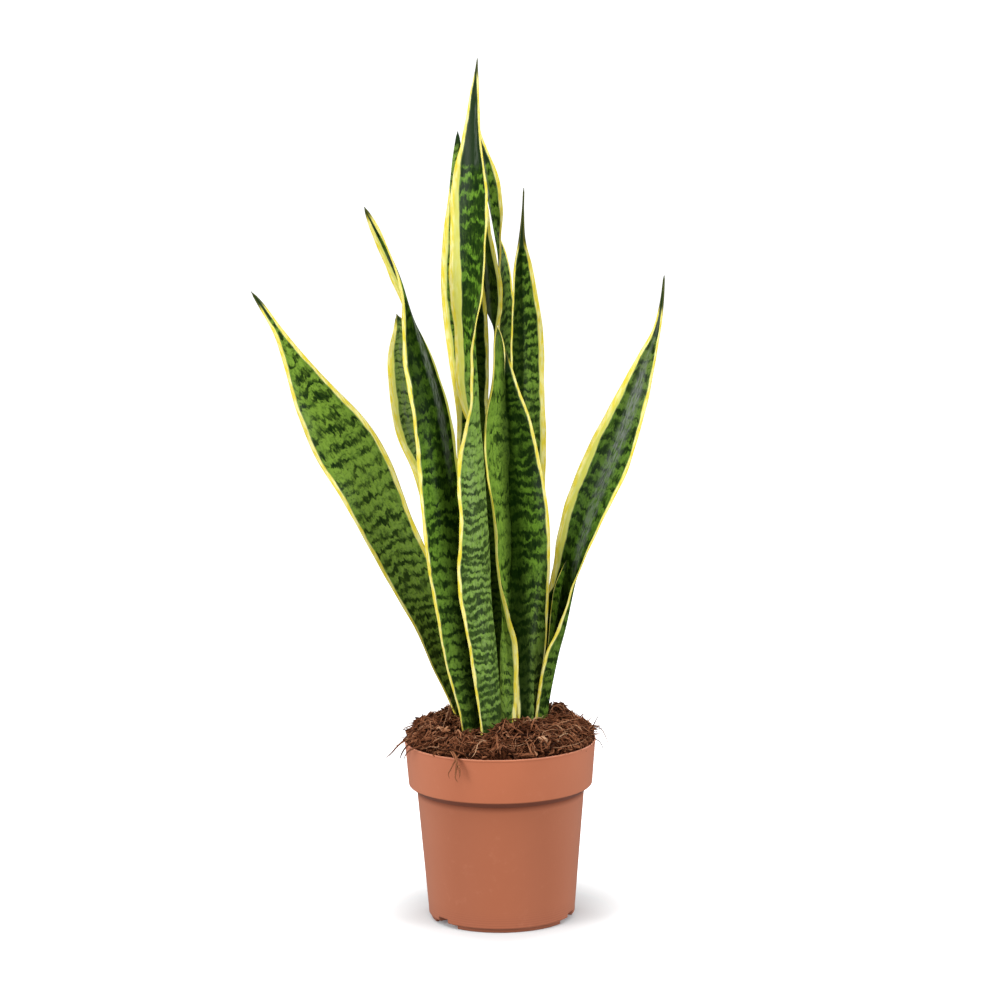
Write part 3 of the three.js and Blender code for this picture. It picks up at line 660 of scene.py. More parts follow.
def blade_surface(leaf):
    """The middle surface of one leaf in millimetres, its normals, its width, how far up
    it each row is (share), where across each column is (u) and the rows themselves.

    The blade is carried along the curve through its stations. At each row it is an
    arc of the station's curl in the plane across the curve, turned about the curve
    by the station's turn, and its margins wave gently to and fro.
    """
    rows = smooth_through(leaf["stations"], BLADE_STEPS)
    centre = rows[:, [1, 2, 0]]
    height, top = rows[:, 0], rows[-1, 0]
    tangent = unit(np.gradient(centre, axis=0))
    side = unit(np.cross((0.0, 1.0, 0.0), tangent))
    back = np.cross(tangent, side)
    turn, curl = np.radians(rows[:, 4:5]), rows[:, 5:6]
    curl = np.radians(np.where(np.abs(curl) < LEAST_CURL, LEAST_CURL, curl))
    point = np.clip((top - height) / SPINE_POINT, 0.25, 1) ** 0.6
    width = np.maximum(rows[:, 3], LEAST_WIDTH) * point
    across = np.cos(turn) * side + np.sin(turn) * back
    facing = np.cos(turn) * back - np.sin(turn) * side

    u = np.sin(np.linspace(-pi / 2, pi / 2, BLADE_ACROSS))[None, :]
    angle = u * curl / 2
    radius = width[:, None] / curl
    share = ((height - height[0]) / (top - height[0]))[:, None]
    fullness = np.minimum(1, width[:, None] / FULL_WIDTH) * np.minimum(1, 3 * share)
    wave = np.sin(2 * pi * height[:, None] / WAVE_LENGTH + np.where(u > 0, WAVE_LEAD, 0.0)) * u ** 2
    ripple = np.sin(2 * pi * height[:, None] / RIPPLE_LENGTH + 3 * u + leaf["pattern"]) * u ** 4
    out = (radius * (np.cos(angle) - np.cos(curl / 2))
           + fullness * (WAVE_HEIGHT * wave + RIPPLE_HEIGHT * ripple))
    surface = (centre[:, None] + across[:, None] * (radius * np.sin(angle))[..., None]
               + facing[:, None] * out[..., None])
    normal = across[:, None] * np.sin(angle)[..., None] + facing[:, None] * np.cos(angle)[..., None]
    return surface, normal, width, share, u, rows


def over(table, places):
    """A (place, value) table read at these places; a bare number holds everywhere."""
    pairs = np.array(table if np.ndim(table) else [(0, table)], float)
    return np.interp(places, *pairs.T)


def blade(leaf):
    """A closed blade: two skins half a thickness either side of the middle surface.

    The thickness falls from the middle to the margins as 1 - u^2 and rounds off to
    nothing in the last hair's breadth. Five triples come with the points:
    place (across and along in mm, pattern number), rim (mm from the nearest margin,
    mm inside the border, painted shade), tipward (mm below the plain tip, mm below the spine,
    how deep the green), rhythm (cross-bands so far, how dense they are, how pale it
    is) and sheen (half-widths from the middle of the painted sheen streak, its
    strength, how much painted glow the border gives off).
    """
    surface, normal, width, share, u, rows = blade_surface(leaf)
    height, w = rows[:, :1], width[:, None]
    middle = over([(0, BASE_THICKNESS), (MIDDLE_SHARE, MIDDLE_THICKNESS), (1, TIP_THICKNESS)], share)
    middle = np.minimum(middle, MARGIN_THICKNESS + SLIMNESS * w)
    thickness = MARGIN_THICKNESS + (middle - MARGIN_THICKNESS) * (1 - u ** 2)
    thickness = thickness * np.sqrt(1 - np.abs(u) ** MARGIN_POWER) * np.clip(w / LEAST_WIDTH, 0, 1)
    ahead = surface + normal * (thickness / 2)[..., None]
    behind = surface - normal * (thickness / 2)[..., None]
    ring = np.concatenate([ahead, behind[:, -2:0:-1]], axis=1)
    n, k = ring.shape[:2]

    def read(name, default=None):
        """The leaf's table of this name over its height, or the default if it has none."""
        return over(leaf.get(name, default), height)

    round_u = np.concatenate([u, u[:, -2:0:-1]], 1)
    skin_side = np.repeat((0, 1), (BLADE_ACROSS, BLADE_ACROSS - 2))
    step = np.linalg.norm(np.diff(rows[:, :3], axis=0), axis=1)
    run = np.concatenate([[0], np.cumsum(step)])[:, None]
    swing = sum(reach * np.sin(run / length + phase * leaf["pattern"])
                for reach, length, phase in BORDER_SWINGS)
    edge, border = [], []
    for margin, distance in (("first", 1 + round_u), ("second", 1 - round_u)):
        band = read(margin)
        band = np.minimum(band + swing * np.minimum(1, band / 3), BORDER_SHARE * w + 0.05)
        edge.append(distance * w / 2)
        border.append(edge[-1] - band)
    beat = np.concatenate([[0], np.cumsum(step / read("spacing")[1:, 0])])[:, None]
    # Painted shade: darker across the blade, over its height and at its foot, each skin by its share.
    painted_shade = np.maximum(over(leaf["painted_shade"], round_u), np.maximum(read("shade_by_height", 0), over(FOOT_SHADE, height)))
    painted_shade = painted_shade * np.take(leaf.get("painted_shade_skins", (1, 1)), skin_side)
    # Painted sheen: a pale streak along the blade that stands in for a reflection.
    streak = np.array(leaf.get("sheen", [(0, 0, 1, 0)]), float)
    where, half, strength = (over(streak[:, [0, i]], height) for i in (1, 2, 3))
    # Painted glow: how much light each border gives off of itself.
    light = np.where(round_u > 0, read("second_border_glow", BORDER_GLOW), read("first_border_glow", BORDER_GLOW))
    to_tip = run[-1] - run
    values = {
        "place": (round_u * w / 2, run, leaf["pattern"] * 10 + 5 * skin_side),
        "rim": (np.minimum(*edge), np.minimum(*border), painted_shade),
        "tipward": (to_tip - leaf["plain_tip"], to_tip - leaf["spine"], read("deep")),
        "rhythm": (beat, read("dense"), read("pale")),
        "sheen": ((round_u - where) * w / 2 / half, strength, light),
    }
    values = {name: np.stack([np.broadcast_to(part, (n, k)) for part in parts], -1).reshape(-1, 3)
              for name, parts in values.items()}
    faces = grid_faces(n, k, wrap=True)
    j = np.arange(BLADE_ACROSS - 1)
    cap = np.stack([j, (k - j) % k, (k - j - 1) % k, j + 1], -1)
    faces = np.concatenate([faces, cap, cap[:, ::-1] + (n - 1) * k])
    return ring.reshape(-1, 3) * MM, faces, values


def outwards(points, faces):
    """The same faces, all turned over if the volume they enclose comes out negative."""
    corners = points[faces]
    volume = sum(np.einsum("ij,ij->i", corners[:, 0], np.cross(corners[:, a], corners[:, a + 1])).sum()
                 for a in (1, 2))
    return faces if volume > 0 else faces[:, ::-1]


def add_values(piece, values):
    """Store per-point arrays on a piece as attributes that its material reads."""
    for name, array in values.items():
        kind, field = ("FLOAT_VECTOR", "vector") if array.ndim == 2 else ("FLOAT", "value")
        layer = piece.data.attributes.new(name, kind, "POINT")
        layer.data.foreach_set(field, np.ascontiguousarray(array, dtype=np.float32).ravel())


LIGHT_GREEN = (0.235, 0.375, 0.042)
MID_GREEN = (0.100, 0.190, 0.018)
VIVID_LIGHT = (0.150, 0.320, 0.026)
VIVID_MID = (0.060, 0.150, 0.011)
DARK_GREEN = (0.005, 0.020, 0.003)
SHADE_GREEN = (0.003, 0.011, 0.001)
TIP_GREEN = (0.016, 0.036, 0.010)
GREY_GREEN = (0.350, 0.460, 0.190)
# The colour of the painted sheen, a reflection painted on the leaves.
SHEEN_GREY = (0.175, 0.200, 0.170)
YELLOW = (0.780, 0.650, 0.055)
CREAM = (0.880, 0.820, 0.330)
OLIVE = (0.560, 0.590, 0.120)
GOLD_LINE = (0.500, 0.400, 0.020)


def leaf_skin():
    """Zigzag cross-bands that follow the beat, blotches, fine files along the blade,
    the two borders, the plain tip and the bare spine; with painted shade, a painted
    sheen streak that stands in for a reflection, and a painted glow from the borders."""
    wiring = Wiring(bpy.data.materials.new("banded_leaf"))
    across, along, seed = wiring.attribute("place")
    edge, border, painted_shade = wiring.attribute("rim")
    below_tip, below_spine, deep = wiring.attribute("tipward")
    beat, dense, pale = wiring.attribute("rhythm")
    apart, sheen, border_glow = wiring.attribute("sheen")

    def patches(x, y, number, **kind):
        """Noise over x and y, another for each leaf and each number."""
        return wiring.noise(wiring.node("CombineXYZ", i0=x, i1=y, i2=seed + number), **kind)

    files = patches(across * 0.85, along * 0.11, 0.0) - 0.5
    jag = patches(across * 0.22, along * 0.10, 1.0, roughness=0.65) - 0.5
    sway = patches(across * 0.05, along * 0.025, 2.0, detail=1.0) - 0.5
    shifted = beat + jag * 1.5 + files * 0.25 + sway * 2.0
    wave = wiring.maths("SINE", shifted * (2 * pi))
    after = wiring.maths("COSINE", shifted * (2 * pi))
    clouds = patches(across * 0.07, shifted * 0.9, 3.0, detail=3.0, roughness=0.6) - 0.5
    marks = patches(across * 0.26, shifted * 2.0, 7.0, detail=3.0, roughness=0.6) - 0.5
    lull = patches(across * 0.03, beat * 0.5, 9.0, detail=1.0) - 0.5
    level = wave * 0.65 + clouds * 3.8 + marks * 2.2 + lull * 1.6 + files * 0.6 + dense * 1.8 - 1.15
    dark = wiring.steps(level, -0.45, 0.75)
    glow = wiring.steps(after + clouds * 2.0, 0.1, 1.2)
    specks = wiring.steps(patches(across * 0.42, along * 0.38, 11.0), 0.55, 0.66)

    mottle = patches(across * 0.36, along * 0.16, 5.0, detail=4.0, roughness=0.7)
    blotch = wiring.steps(mottle + glow * 0.12 - level * 0.06 + files * 0.25, 0.66, 0.34)
    mid = wiring.mix(deep, MID_GREEN, VIVID_MID)
    # painted sheen: a streak of painted reflection, broken up by the files
    painted_streak = sheen * wiring.steps(wiring.maths("ABSOLUTE", apart), 1.0, 0.2) * (0.7 + files * 4.2)
    ragged = border + files * 1.1 + jag * 0.8
    green = wiring.layers(
        wiring.mix(deep, LIGHT_GREEN, VIVID_LIGHT),
        (blotch, mid),
        (pale * (0.40 + files * 1.2 + marks * 0.8), GREY_GREEN),
        (wiring.steps(border, 4.0, 0.5) * 0.40, mid),
        (specks * (0.45 + lull * 1.2), DARK_GREEN),
        (dark * (0.88 - pale * 0.14 + files * 0.5 + marks * 0.6), DARK_GREEN),
        # painted shade
        (painted_shade * 0.94, SHADE_GREEN),
        (wiring.steps(below_tip + files * 10.0 + marks * 14.0, 2.5, -2.5), TIP_GREEN),
        # painted sheen
        (painted_streak, SHEEN_GREY),
        (wiring.steps(ragged, 1.2, 0.0) * 0.45, GREY_GREEN))

    stripes = patches(across * 0.9, along * 0.05, 0.0)
    worn = patches(across * 0.3, along * 0.09, 9.0)
    rim = wiring.layers(
        YELLOW,
        (wiring.steps(stripes * 0.5 + worn * 0.5, 0.42, 0.60), CREAM),
        (wiring.steps(edge + files * 2.0, 2.6, 5.0) * 0.75, OLIVE),
        (wiring.steps(edge, 0.9, 0.1) * 0.40, GOLD_LINE))
    inside = wiring.steps(ragged, -0.22, 0.22)
    colour = wiring.layers(rim, (inside, green), (wiring.steps(below_spine, 6.0, -4.0), TIP_GREEN))
    # painted glow: the borders give off light of themselves, less where they run into the green
    painted_glow = wiring.mix(border_glow * (1.0 - inside), (0.0, 0.0, 0.0), rim)
    relief = files * 0.6 + wave * 0.15 + mottle * 0.3
    bump = wiring.node("Bump", Strength=0.3, Distance=0.0009, Height=relief)
    return wiring.finish(Base_Color=colour, Roughness=0.6, Normal=bump, Specular_IOR_Level=0.0,
                         Coat_Weight=(1.0 - painted_shade) * (0.16 + mottle * 0.12), Coat_Roughness=0.32,
                         Emission_Color=painted_glow, Emission_Strength=0.32)


skin = leaf_skin()
for name, leaf in LEAVES.items():
    points, faces, values = blade(leaf)
    piece = new_piece("dressed_" + name, points, outwards(points, faces), skin)
    add_values(piece, values)
    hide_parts(name)
    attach(piece, "root")


# ---- Coir -------------------------------------------------------------------
# Shredded coconut husk that fills the pot to just over its rim, heaped up round the
# leaves. The body of it is one lumpy mass, pressed in round each leaf's foot.

SOIL_EDGE = 161.5         # heights, lumps and fibres are in millimetres
MOUND_RADIUS = 83.5
MOUND_RISE = 15.5
MOUND_POWER = 3.6
FOOT_LEVEL = 174.0        # where the dips take the leaves' outlines from
DIP_DEPTH = 3.0
DIP_SPREAD = 5.0
LUMPS = 520
LUMP_REACH = 84.0
SHOULDER_HEIGHT = 158.0   # where the mass starts to narrow with the pot
SOIL_FOOT = (NOTCH_HEIGHT + POT_THICKNESS) / MM + 0.5
SOIL_RADIUS = RIM_RADIUS - POT_THICKNESS - 0.0002
WALL_CLEARANCE = 0.001
MASS_RINGS = 110
MASS_COLUMNS = 240
COIR_DUST = (0.008, 0.002, 0.001)
COIR_CRUMB = (0.120, 0.040, 0.016)
COIR_CLUMP = (0.035, 0.010, 0.004)
# Heaps that stand above the even mound: x, y, spread and height in millimetres.
HEAPS = [
    (-66, 8, 12, 3.5), (-45, 42, 14, 4.5), (52, 36, 15, 6.5), (72, 12, 10, 5.5),
    (30, -34, 9, 2.5), (2, -38, 9, 3.0), (62, -22, 12, 2.0), (-30, -52, 14, -1.5),
    (-40, -8, 10, -1.5), (20, 62, 16, 3.0), (-18, -42, 13, -7.0), (-38, -26, 12, -5.0),
    (34, -4, 13, -5.5), (8, -16, 11, -4.0), (5, -48, 9, 4.5),
]


def foot_line(leaf):
    """Every other point, in plan, of the row of a leaf that is nearest FOOT_LEVEL."""
    surface, *_, rows = blade_surface(leaf)
    return surface[np.argmin(np.abs(rows[:, 0] - FOOT_LEVEL)), ::2, :2]


feet = np.concatenate([foot_line(leaf) for leaf in LEAVES.values()])
grit = np.random.default_rng(41)
lump_angle = grit.uniform(0, 2 * pi, LUMPS)
lump_radius = LUMP_REACH * np.sqrt(grit.uniform(0, 1, LUMPS))
lump_x, lump_y = lump_radius * np.cos(lump_angle), lump_radius * np.sin(lump_angle)
lump_size = grit.uniform(2.0, 6.5, LUMPS)
lump_height = grit.normal(0.2, 2.1, LUMPS)


def coir_height(x, y):
    """Height in millimetres of the coir at x, y.

    Edge height plus rise * (1 - (r / radius) ^ power), plus the heaps and a scatter
    of small round lumps, each height * exp(-(distance / size) ^ 2), less a dip of the
    same form along the foot of every leaf.
    """
    r = np.clip(np.hypot(x, y) / MOUND_RADIUS, 0, 1)
    height = SOIL_EDGE + MOUND_RISE * (1 - r ** MOUND_POWER)
    for heap_x, heap_y, spread, rise in HEAPS:
        height = height + rise * np.exp(-((x - heap_x) ** 2 + (y - heap_y) ** 2) / spread ** 2)
    apart = (x[..., None] - lump_x) ** 2 + (y[..., None] - lump_y) ** 2
    height = height + (lump_height * np.exp(-apart / lump_size ** 2)).sum(-1)
    nearest = ((x[..., None] - feet[:, 0]) ** 2 + (y[..., None] - feet[:, 1]) ** 2).min(-1)
    return height - DIP_DEPTH * np.exp(-nearest / DIP_SPREAD ** 2)


def coir_mass():
    """A cap over rings and columns of the pot's circle, a wall down inside the pot
    and a flat bottom, closed at both middles."""
    angle = 2 * pi * np.arange(MASS_COLUMNS) / MASS_COLUMNS
    radius = SOIL_RADIUS / MM * np.concatenate([[0.0], np.sqrt(np.linspace(0.0005, 1, MASS_RINGS))])
    x, y = radius[:, None] * np.cos(angle), radius[:, None] * np.sin(angle)
    top = np.stack([x, y, coir_height(x, y)], -1)
    neck, low = ((wall - POT_THICKNESS - WALL_CLEARANCE) / SOIL_RADIUS
                 for wall in (BAND_FOOT_RADIUS, WALL_FOOT_RADIUS))
    below = [top[-1] * (share, share, 0) + (0, 0, height) for share, height in (
        (1, SHOULDER_HEIGHT), (neck, BAND_FOOT / MM + 1.5), (neck * 0.9, WALL_TOP / MM + 0.5),
        (low, SOIL_FOOT), (0, SOIL_FOOT))]
    points = np.concatenate([top, np.array(below)]).reshape(-1, 3)
    return points * MM, grid_faces(len(points) // MASS_COLUMNS, MASS_COLUMNS, wrap=True)


def coir_matter():
    """Near-black dust with brown crumbs in it, and darker clumps."""
    wiring = Wiring(bpy.data.materials.new("coir_mass"))
    where = wiring.where()
    crumbs = wiring.noise(where, scale=420.0, detail=5.0, roughness=0.65)
    clumps = wiring.noise(where, scale=75.0, detail=3.0)
    colour = wiring.layers(COIR_DUST, (wiring.steps(crumbs, 0.40, 0.72), COIR_CRUMB),
                           (wiring.steps(clumps, 0.45, 0.65) * 0.5, COIR_CLUMP))
    bump = wiring.node("Bump", Strength=1.0, Distance=0.0012, Height=crumbs)
    return wiring.finish(Base_Color=colour, Roughness=0.95, Normal=bump, Specular_IOR_Level=0.03)


points, faces = coir_mass()
mass = new_piece("coir_mass", points, outwards(points, faces), coir_matter())
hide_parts("soil")
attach(mass, "root")


# ---- Coir fibres ------------------------------------------------------------
# Loose ends of the same husk that lie over the mass: short broken fibres, longer
# wiry strands, and ends that stick out over the rim. Each kind is one piece.

FIBRE_SIDES = 3
FIBRE_POINTS = 8
WOBBLE = 0.35             # radians
HUSK_TONES = [
    (0.0, (0.012, 0.003, 0.001)), (0.35, (0.115, 0.034, 0.012)),
    (0.70, (0.330, 0.130, 0.060)), (1.0, (0.680, 0.420, 0.250))]
RIM_ENDS = 300
RIM_INSIDE = 82           # a rim end farther out than this stays above RIM_LEVEL
RIM_LEVEL = 163.0


def wandering(count, rng, length, bend, spread):
    """Plan paths of count fibres: each has its middle at a random place in a circle of
    radius spread, and its heading turns by about bend, with a wobble, on the way."""
    each = (count, 1)
    radius = spread * np.sqrt(rng.uniform(0, 1, each))
    angle = rng.uniform(0, 2 * pi, each)
    share = np.linspace(0, 1, FIBRE_POINTS)
    heading = (rng.uniform(0, 2 * pi, each) + bend * rng.normal(0, 1, each) * share
               + WOBBLE * np.sin(2 * pi * share * rng.uniform(0.6, 1.6, each) + rng.uniform(0, 6, each)))
    step = length[:, None] / (FIBRE_POINTS - 1)
    x = np.cumsum(step * np.cos(heading), axis=1)
    y = np.cumsum(step * np.sin(heading), axis=1)
    x = x - x.mean(1, keepdims=True) + radius * np.cos(angle)
    y = y - y.mean(1, keepdims=True) + radius * np.sin(angle)
    return x, y


def laid(x, y, clearance, lift, tilt, reach):
    """Lay plan paths on the coir: its height plus clearance, an arch of lift * sin and
    a tilt of one end, with anything past reach drawn back towards the middle."""
    r = np.hypot(x, y)
    draw = np.where(r > reach, reach / r + 0.35 * (1 - reach / r), 1.0)
    x, y = x * draw, y * draw
    share = np.linspace(0, 1, x.shape[1])
    z = (coir_height(x, y) + clearance[:, None] + lift[:, None] * np.sin(pi * share)
         + tilt[:, None] * (share - 0.3))
    return np.stack([x, y, z], -1)


def clear_of_leaves(paths, space):
    """True for each path that keeps its distance from every leaf's foot in plan."""
    apart = (paths[:, :, None, 0] - feet[:, 0]) ** 2 + (paths[:, :, None, 1] - feet[:, 1]) ** 2
    return np.sqrt(apart.min((1, 2))) > space


def threads(paths, thickness):
    """Three-sided tubes along paths (count, points, 3), fattest a third of the way
    and pointed at both ends, as thickness * sin(pi * share ^ 0.7) ^ 0.6.

    The third result says which path each point belongs to.
    """
    count, length = paths.shape[:2]
    share = np.linspace(0.02, 0.98, length)
    girth = thickness[:, None] / 2 * np.sin(pi * share ** 0.7) ** 0.6
    tangent = unit(np.gradient(paths, axis=1))
    side = unit(np.cross(tangent, (0.13, 0.21, 1.0)))
    upper = np.cross(side, tangent)
    turn = 2 * pi * np.arange(FIBRE_SIDES)[:, None] / FIBRE_SIDES
    ring = side[:, :, None] * np.cos(turn) + upper[:, :, None] * np.sin(turn)
    points = (paths[:, :, None] + ring * girth[:, :, None, None]).reshape(-1, 3)
    each = length * FIBRE_SIDES
    first = np.arange(count)[:, None, None] * each
    tubes = (first + grid_faces(length, FIBRE_SIDES, wrap=True)).reshape(-1, 4).tolist()
    ends = (first + [[0, 1, 2], [each - 1, each - 2, each - 3]]).reshape(-1, 3).tolist()
    return points * MM, tubes + ends, np.repeat(np.arange(count), each)


def husk_matter(name, roughness):
    """Husk that goes from near black to tan with each point's tone, finely mottled."""
    wiring = Wiring(bpy.data.materials.new(name))
    tone = wiring.node("Attribute", {"attribute_name": "tone"}, out=2)
    mottle = wiring.noise(wiring.where(), scale=500.0)
    ramp = wiring.node("ValToRGB", {"stops": HUSK_TONES}, Fac=tone + (mottle - 0.5) * 0.35)
    bump = wiring.node("Bump", Strength=0.5, Distance=0.0003, Height=mottle)
    return wiring.finish(Base_Color=ramp, Roughness=roughness, Normal=bump, Specular_IOR_Level=0.12)


fibre_matter = husk_matter("coir_fibre", 0.75)


def fibre_piece(name, paths, thickness, tone):
    points, faces, owner = threads(paths, thickness)
    piece = new_piece(name, points, faces, fibre_matter)
    add_values(piece, {"tone": tone[owner]})
    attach(piece, "root")


def strewn(name, count, seed, length, bend, spread, clearance, lift, tilt, reach, space, girth, tone):
    """Fibres strewn over the coir, each farther than space from every leaf.

    length, clearance, lift and girth are ranges of even draws, and tilt the deviation
    of a normal one. tone is its least value, its range and the shape of a beta draw.
    """
    rng = np.random.default_rng(seed)
    x, y = wandering(count, rng, rng.uniform(*length, count), bend, spread)
    paths = laid(x, y, rng.uniform(*clearance, count), rng.uniform(*lift, count),
                 rng.normal(0, tilt, count), reach)
    kept = clear_of_leaves(paths, space)
    thickness = rng.uniform(*girth, count)
    least, span, *shape = tone
    tones = least + span * rng.beta(*shape, count)
    fibre_piece(name, paths[kept], thickness[kept], tones[kept])


strewn("coir_short_fibres", 1900, seed=11, length=(6, 24), bend=0.42, spread=84, clearance=(0.0, 2.4),
       lift=(0, 2.8), tilt=4.5, reach=83.0, space=2.0, girth=(0.8, 2.5), tone=(0.02, 0.80, 1.3, 1.6))
strewn("coir_long_strands", 200, seed=23, length=(16, 42), bend=0.6, spread=82, clearance=(1.2, 3.6),
       lift=(0, 5.0), tilt=5.0, reach=84.0, space=2.2, girth=(0.40, 1.0), tone=(0.55, 0.42, 2, 2))


def rim_ends(count, rng):
    """Paths all the way round the rim: each runs out over the edge, a little askew,
    and lifts or sags towards its loose end."""
    each = (count, 1)
    share = np.linspace(0, 1, FIBRE_POINTS)
    start = rng.uniform(0, 2 * pi, each)
    outward = rng.uniform(70, 82, each) + rng.uniform(3, 13, each) * share
    bearing = start + rng.normal(0, 0.10, each) * share
    rise = np.abs(rng.normal(0, 6.0, each)) * share + rng.uniform(-1, 3, each)
    sag = rng.uniform(0, 4, each) * share ** 2
    x, y = outward * np.cos(bearing), outward * np.sin(bearing)
    height = coir_height(x, y) + 1.5 + rise - sag
    return np.stack([x, y, np.maximum(height, np.where(outward > RIM_INSIDE, RIM_LEVEL, 0.0))], -1)


rng = np.random.default_rng(57)
fibre_piece("coir_rim_ends", rim_ends(RIM_ENDS, rng), rng.uniform(0.5, 1.3, RIM_ENDS),
            0.12 + 0.7 * rng.beta(1.6, 2, RIM_ENDS))


# ---- Husk flakes ------------------------------------------------------------
# Flat torn flakes of husk that lie over the coir and in it, and a few larger chips
# that can be told apart. They are one piece.

FLAKE_ROWS = 5
FLAKE_COLUMNS = 3
FLAKE_SKIN = FLAKE_ROWS * FLAKE_COLUMNS
FLAKE_THICKNESS = 0.35
FLAKE_REACH = 81
LEAF_SPACE = 2.0
HUSK_FLAKES = 1500
# The chips: x, y, length and width in millimetres, and tone.
CHIPS = np.array([
    (36, -60, 13, 11, 0.93), (-12, -62, 15, 6, 0.62), (10, -58, 17, 5, 0.66), (-56, -30, 14, 7, 0.45),
    (-60, 2, 17, 8, 0.58), (58, -30, 15, 6, 0.5), (-30, -66, 12, 6, 0.7), (70, 4, 14, 6, 0.35)])


def spin(angle, first, second):
    """Rotations by each angle from the first axis towards the second, (3, 3, count)."""
    turn = np.repeat(np.eye(3)[:, :, None], len(angle), 2)
    turn[first, first] = turn[second, second] = np.cos(angle)
    turn[second, first], turn[first, second] = np.sin(angle), -np.sin(angle)
    return turn


def flakes(x, y, length, width, rng):
    """Flakes at x, y: a grid each, longer than wide, bowed along and across, tipped at
    random, and closed underneath one thickness lower."""
    count, each = len(x), (len(x), 1, 1)
    along = np.linspace(-0.5, 0.5, FLAKE_ROWS)[:, None]
    across = np.linspace(-0.5, 0.5, FLAKE_COLUMNS)
    taper = 1 - rng.uniform(0.2, 0.9, each) * (2 * along) ** 2
    wide = width[:, None, None] * across * taper
    long = length[:, None, None] * along + 0 * across
    bow = rng.normal(0, 1.4, each) * along ** 2 * 2 - rng.uniform(0.3, 1.2, each) * across ** 2 * 2
    top = np.stack([long, wide + rng.normal(0, 0.12, wide.shape), bow], -1)
    shape = np.concatenate([top, top - (0, 0, FLAKE_THICKNESS)], 1).reshape(count, -1, 3)
    pitch, roll = rng.normal(0, 0.40, count), rng.normal(0, 0.6, count)
    heading = rng.uniform(0, 2 * pi, count)
    turned = np.einsum("abn,bcn,cdn,npd->npa",
                       spin(heading, 0, 1), spin(pitch, 2, 0), spin(roll, 1, 2), shape)
    return turned + np.stack([x, y, coir_height(x, y) + rng.uniform(0.3, 2.0, count)], -1)[:, None]


def flake_faces(count):
    """The faces of count flakes: two grids each and the band that joins their edges."""
    sheet = grid_faces(FLAKE_ROWS, FLAKE_COLUMNS)
    border = np.array([0, 1, 2, 5, 8, 11, 14, 13, 12, 9, 6, 3])
    ahead = np.roll(border, -1)
    band = np.stack([border, ahead, ahead + FLAKE_SKIN, border + FLAKE_SKIN], -1)
    one = np.concatenate([sheet[:, ::-1], sheet + FLAKE_SKIN, band])
    return (np.arange(count)[:, None, None] * 2 * FLAKE_SKIN + one).reshape(-1, 4)


rng = np.random.default_rng(37)
radius = FLAKE_REACH * np.sqrt(rng.uniform(0, 1, HUSK_FLAKES))
angle = rng.uniform(0, 2 * pi, HUSK_FLAKES)
tone = 0.04 + 0.84 * rng.beta(1.3, 2.0, HUSK_FLAKES)
shapes = flakes(radius * np.cos(angle), radius * np.sin(angle), rng.uniform(5, 17, HUSK_FLAKES),
                rng.uniform(1.4, 5.0, HUSK_FLAKES), rng)
kept = clear_of_leaves(shapes, LEAF_SPACE)
shapes = np.concatenate([shapes[kept], flakes(*CHIPS.T[:4], rng)])
tone = np.concatenate([tone[kept], CHIPS[:, 4]])
husk = new_piece("husk_flakes", shapes.reshape(-1, 3) * MM, flake_faces(len(shapes)),
                 husk_matter("husk_flake", 0.85))
add_values(husk, {"tone": np.repeat(tone, 2 * FLAKE_SKIN)})
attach(husk, "root")


# ---- Single strands ---------------------------------------------------------
# Strands that can be told apart: over the rim to the left and right, across the
# heap, and a tuft that hangs down outside the collar. Each has its thickness, its
# tone and the points it runs through, in millimetres.

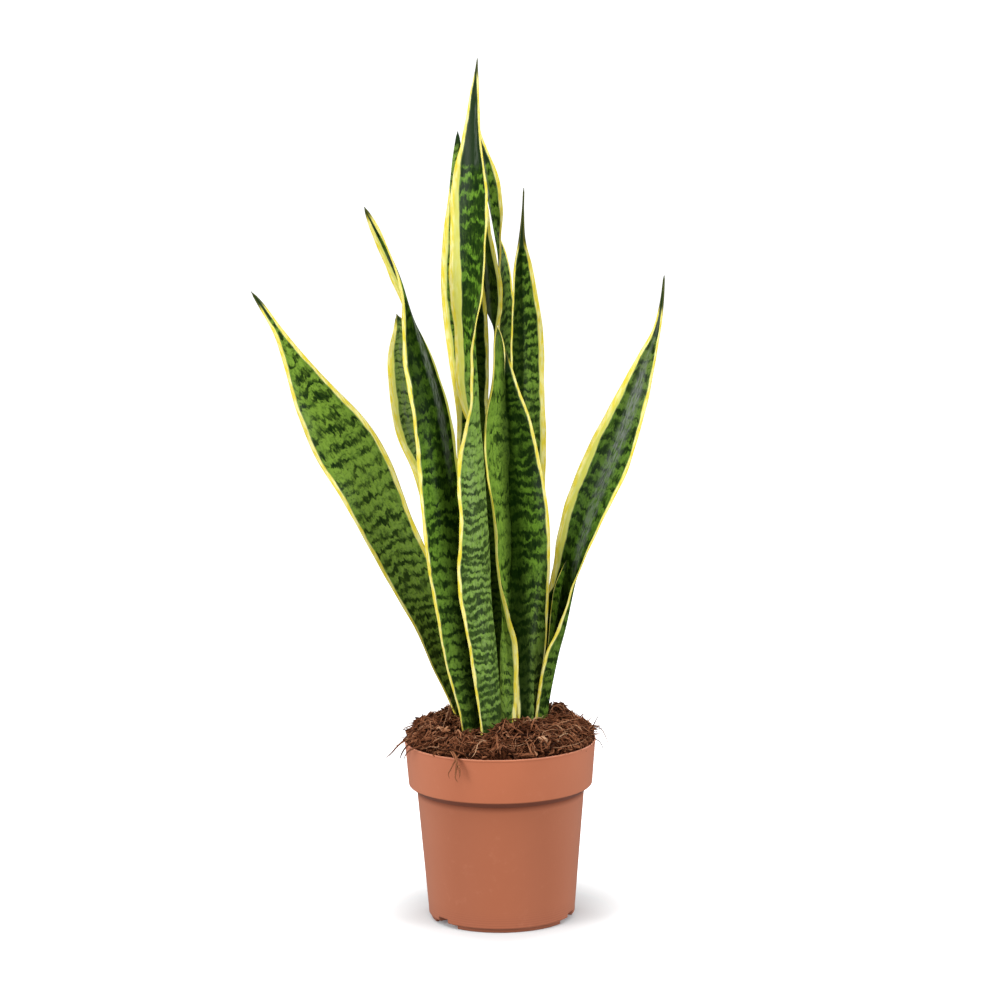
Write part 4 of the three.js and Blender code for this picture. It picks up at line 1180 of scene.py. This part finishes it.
STRAY_STRANDS = {
    "strand_over_left_rim": (2.2, 0.42,
        (-62, -30, 172), (-72, -20, 169), (-82, -12, 164), (-90, -8, 157), (-97, -6, 149), (-102, -5, 145)),
    "strand_far_right": (0.9, 0.5,
        (80, 8, 166), (86, 6, 169), (91, 4, 166), (95, 2, 158), (96, 1, 153)),
    "strand_across_right": (0.7, 0.78,
        (70, -14, 181), (56, -22, 180), (42, -30, 176), (28, -38, 172), (12, -44, 169)),
    "strand_front_right": (0.7, 0.80,
        (14, -48, 174), (30, -56, 172), (44, -66, 167), (58, -62, 167), (70, -52, 168), (78, -36, 170)),
    "strand_upright_left": (0.45, 0.85,
        (-52, -30, 170), (-50, -31, 178), (-47, -32, 188), (-44, -32, 198), (-42, -33, 206)),
    "strand_curl_middle": (1.9, 0.6,
        (-4, -52, 172), (2, -56, 175), (8, -58, 172), (9, -60, 166), (4, -62, 163), (-3, -62, 164)),
    "strand_curl_front": (1.8, 0.5,
        (-16, -50, 172), (-8, -55, 176), (-1, -57, 178), (4, -60, 174), (3, -64, 168), (0, -68, 164)),
    "strand_tuft_long": (2.4, 0.6,
        (-42, -70, 166), (-40, -77, 165), (-38, -81, 160), (-38, -83, 152), (-39, -84, 146), (-37, -84, 141)),
    "strand_tuft_short": (2.1, 0.65,
        (-46, -66, 166), (-42, -75, 165), (-39, -80, 160), (-36, -83, 154), (-35, -84, 149), (-36, -84, 144)),
    "strand_tuft_side": (1.6, 0.55,
        (-34, -74, 165), (-37, -79, 163), (-40, -81, 158), (-43, -82, 152), (-45, -82, 148), (-44, -82, 144)),
    "strand_left_rim_low": (1.8, 0.45,
        (-60, -48, 168), (-66, -48, 167), (-73, -47, 164), (-79, -45, 161), (-83, -41, 156), (-85, -36, 150)),
    "strand_left_rim_high": (1.0, 0.7,
        (-58, -22, 172), (-68, -26, 171), (-78, -26, 168), (-86, -24, 163), (-91, -20, 160), (-95, -16, 158)),
    "strand_left_rim_side": (1.7, 0.25,
        (-70, -34, 166), (-76, -36, 166), (-82, -34, 162), (-86, -30, 156), (-88, -27, 151), (-89, -24, 147)),
    "strand_right_rim": (1.1, 0.3,
        (66, -20, 170), (74, -24, 169), (81, -24, 166), (87, -20, 162), (90, -16, 157), (91, -12, 152)),
    "strand_loop_left": (1.2, 0.72,
        (-70, 2, 174), (-62, -12, 177), (-50, -24, 176), (-44, -38, 170), (-46, -52, 166), (-54, -58, 165)),
    "strand_loop_right": (0.9, 0.66,
        (18, -30, 178), (30, -34, 180), (44, -32, 180), (56, -24, 178), (64, -10, 176), (68, 4, 174)),
}

for name, (thickness, tone, *points) in STRAY_STRANDS.items():
    path = smooth_through(points, steps=3)[None]
    fibre_piece(name, path, np.array([thickness]), np.array([tone]))
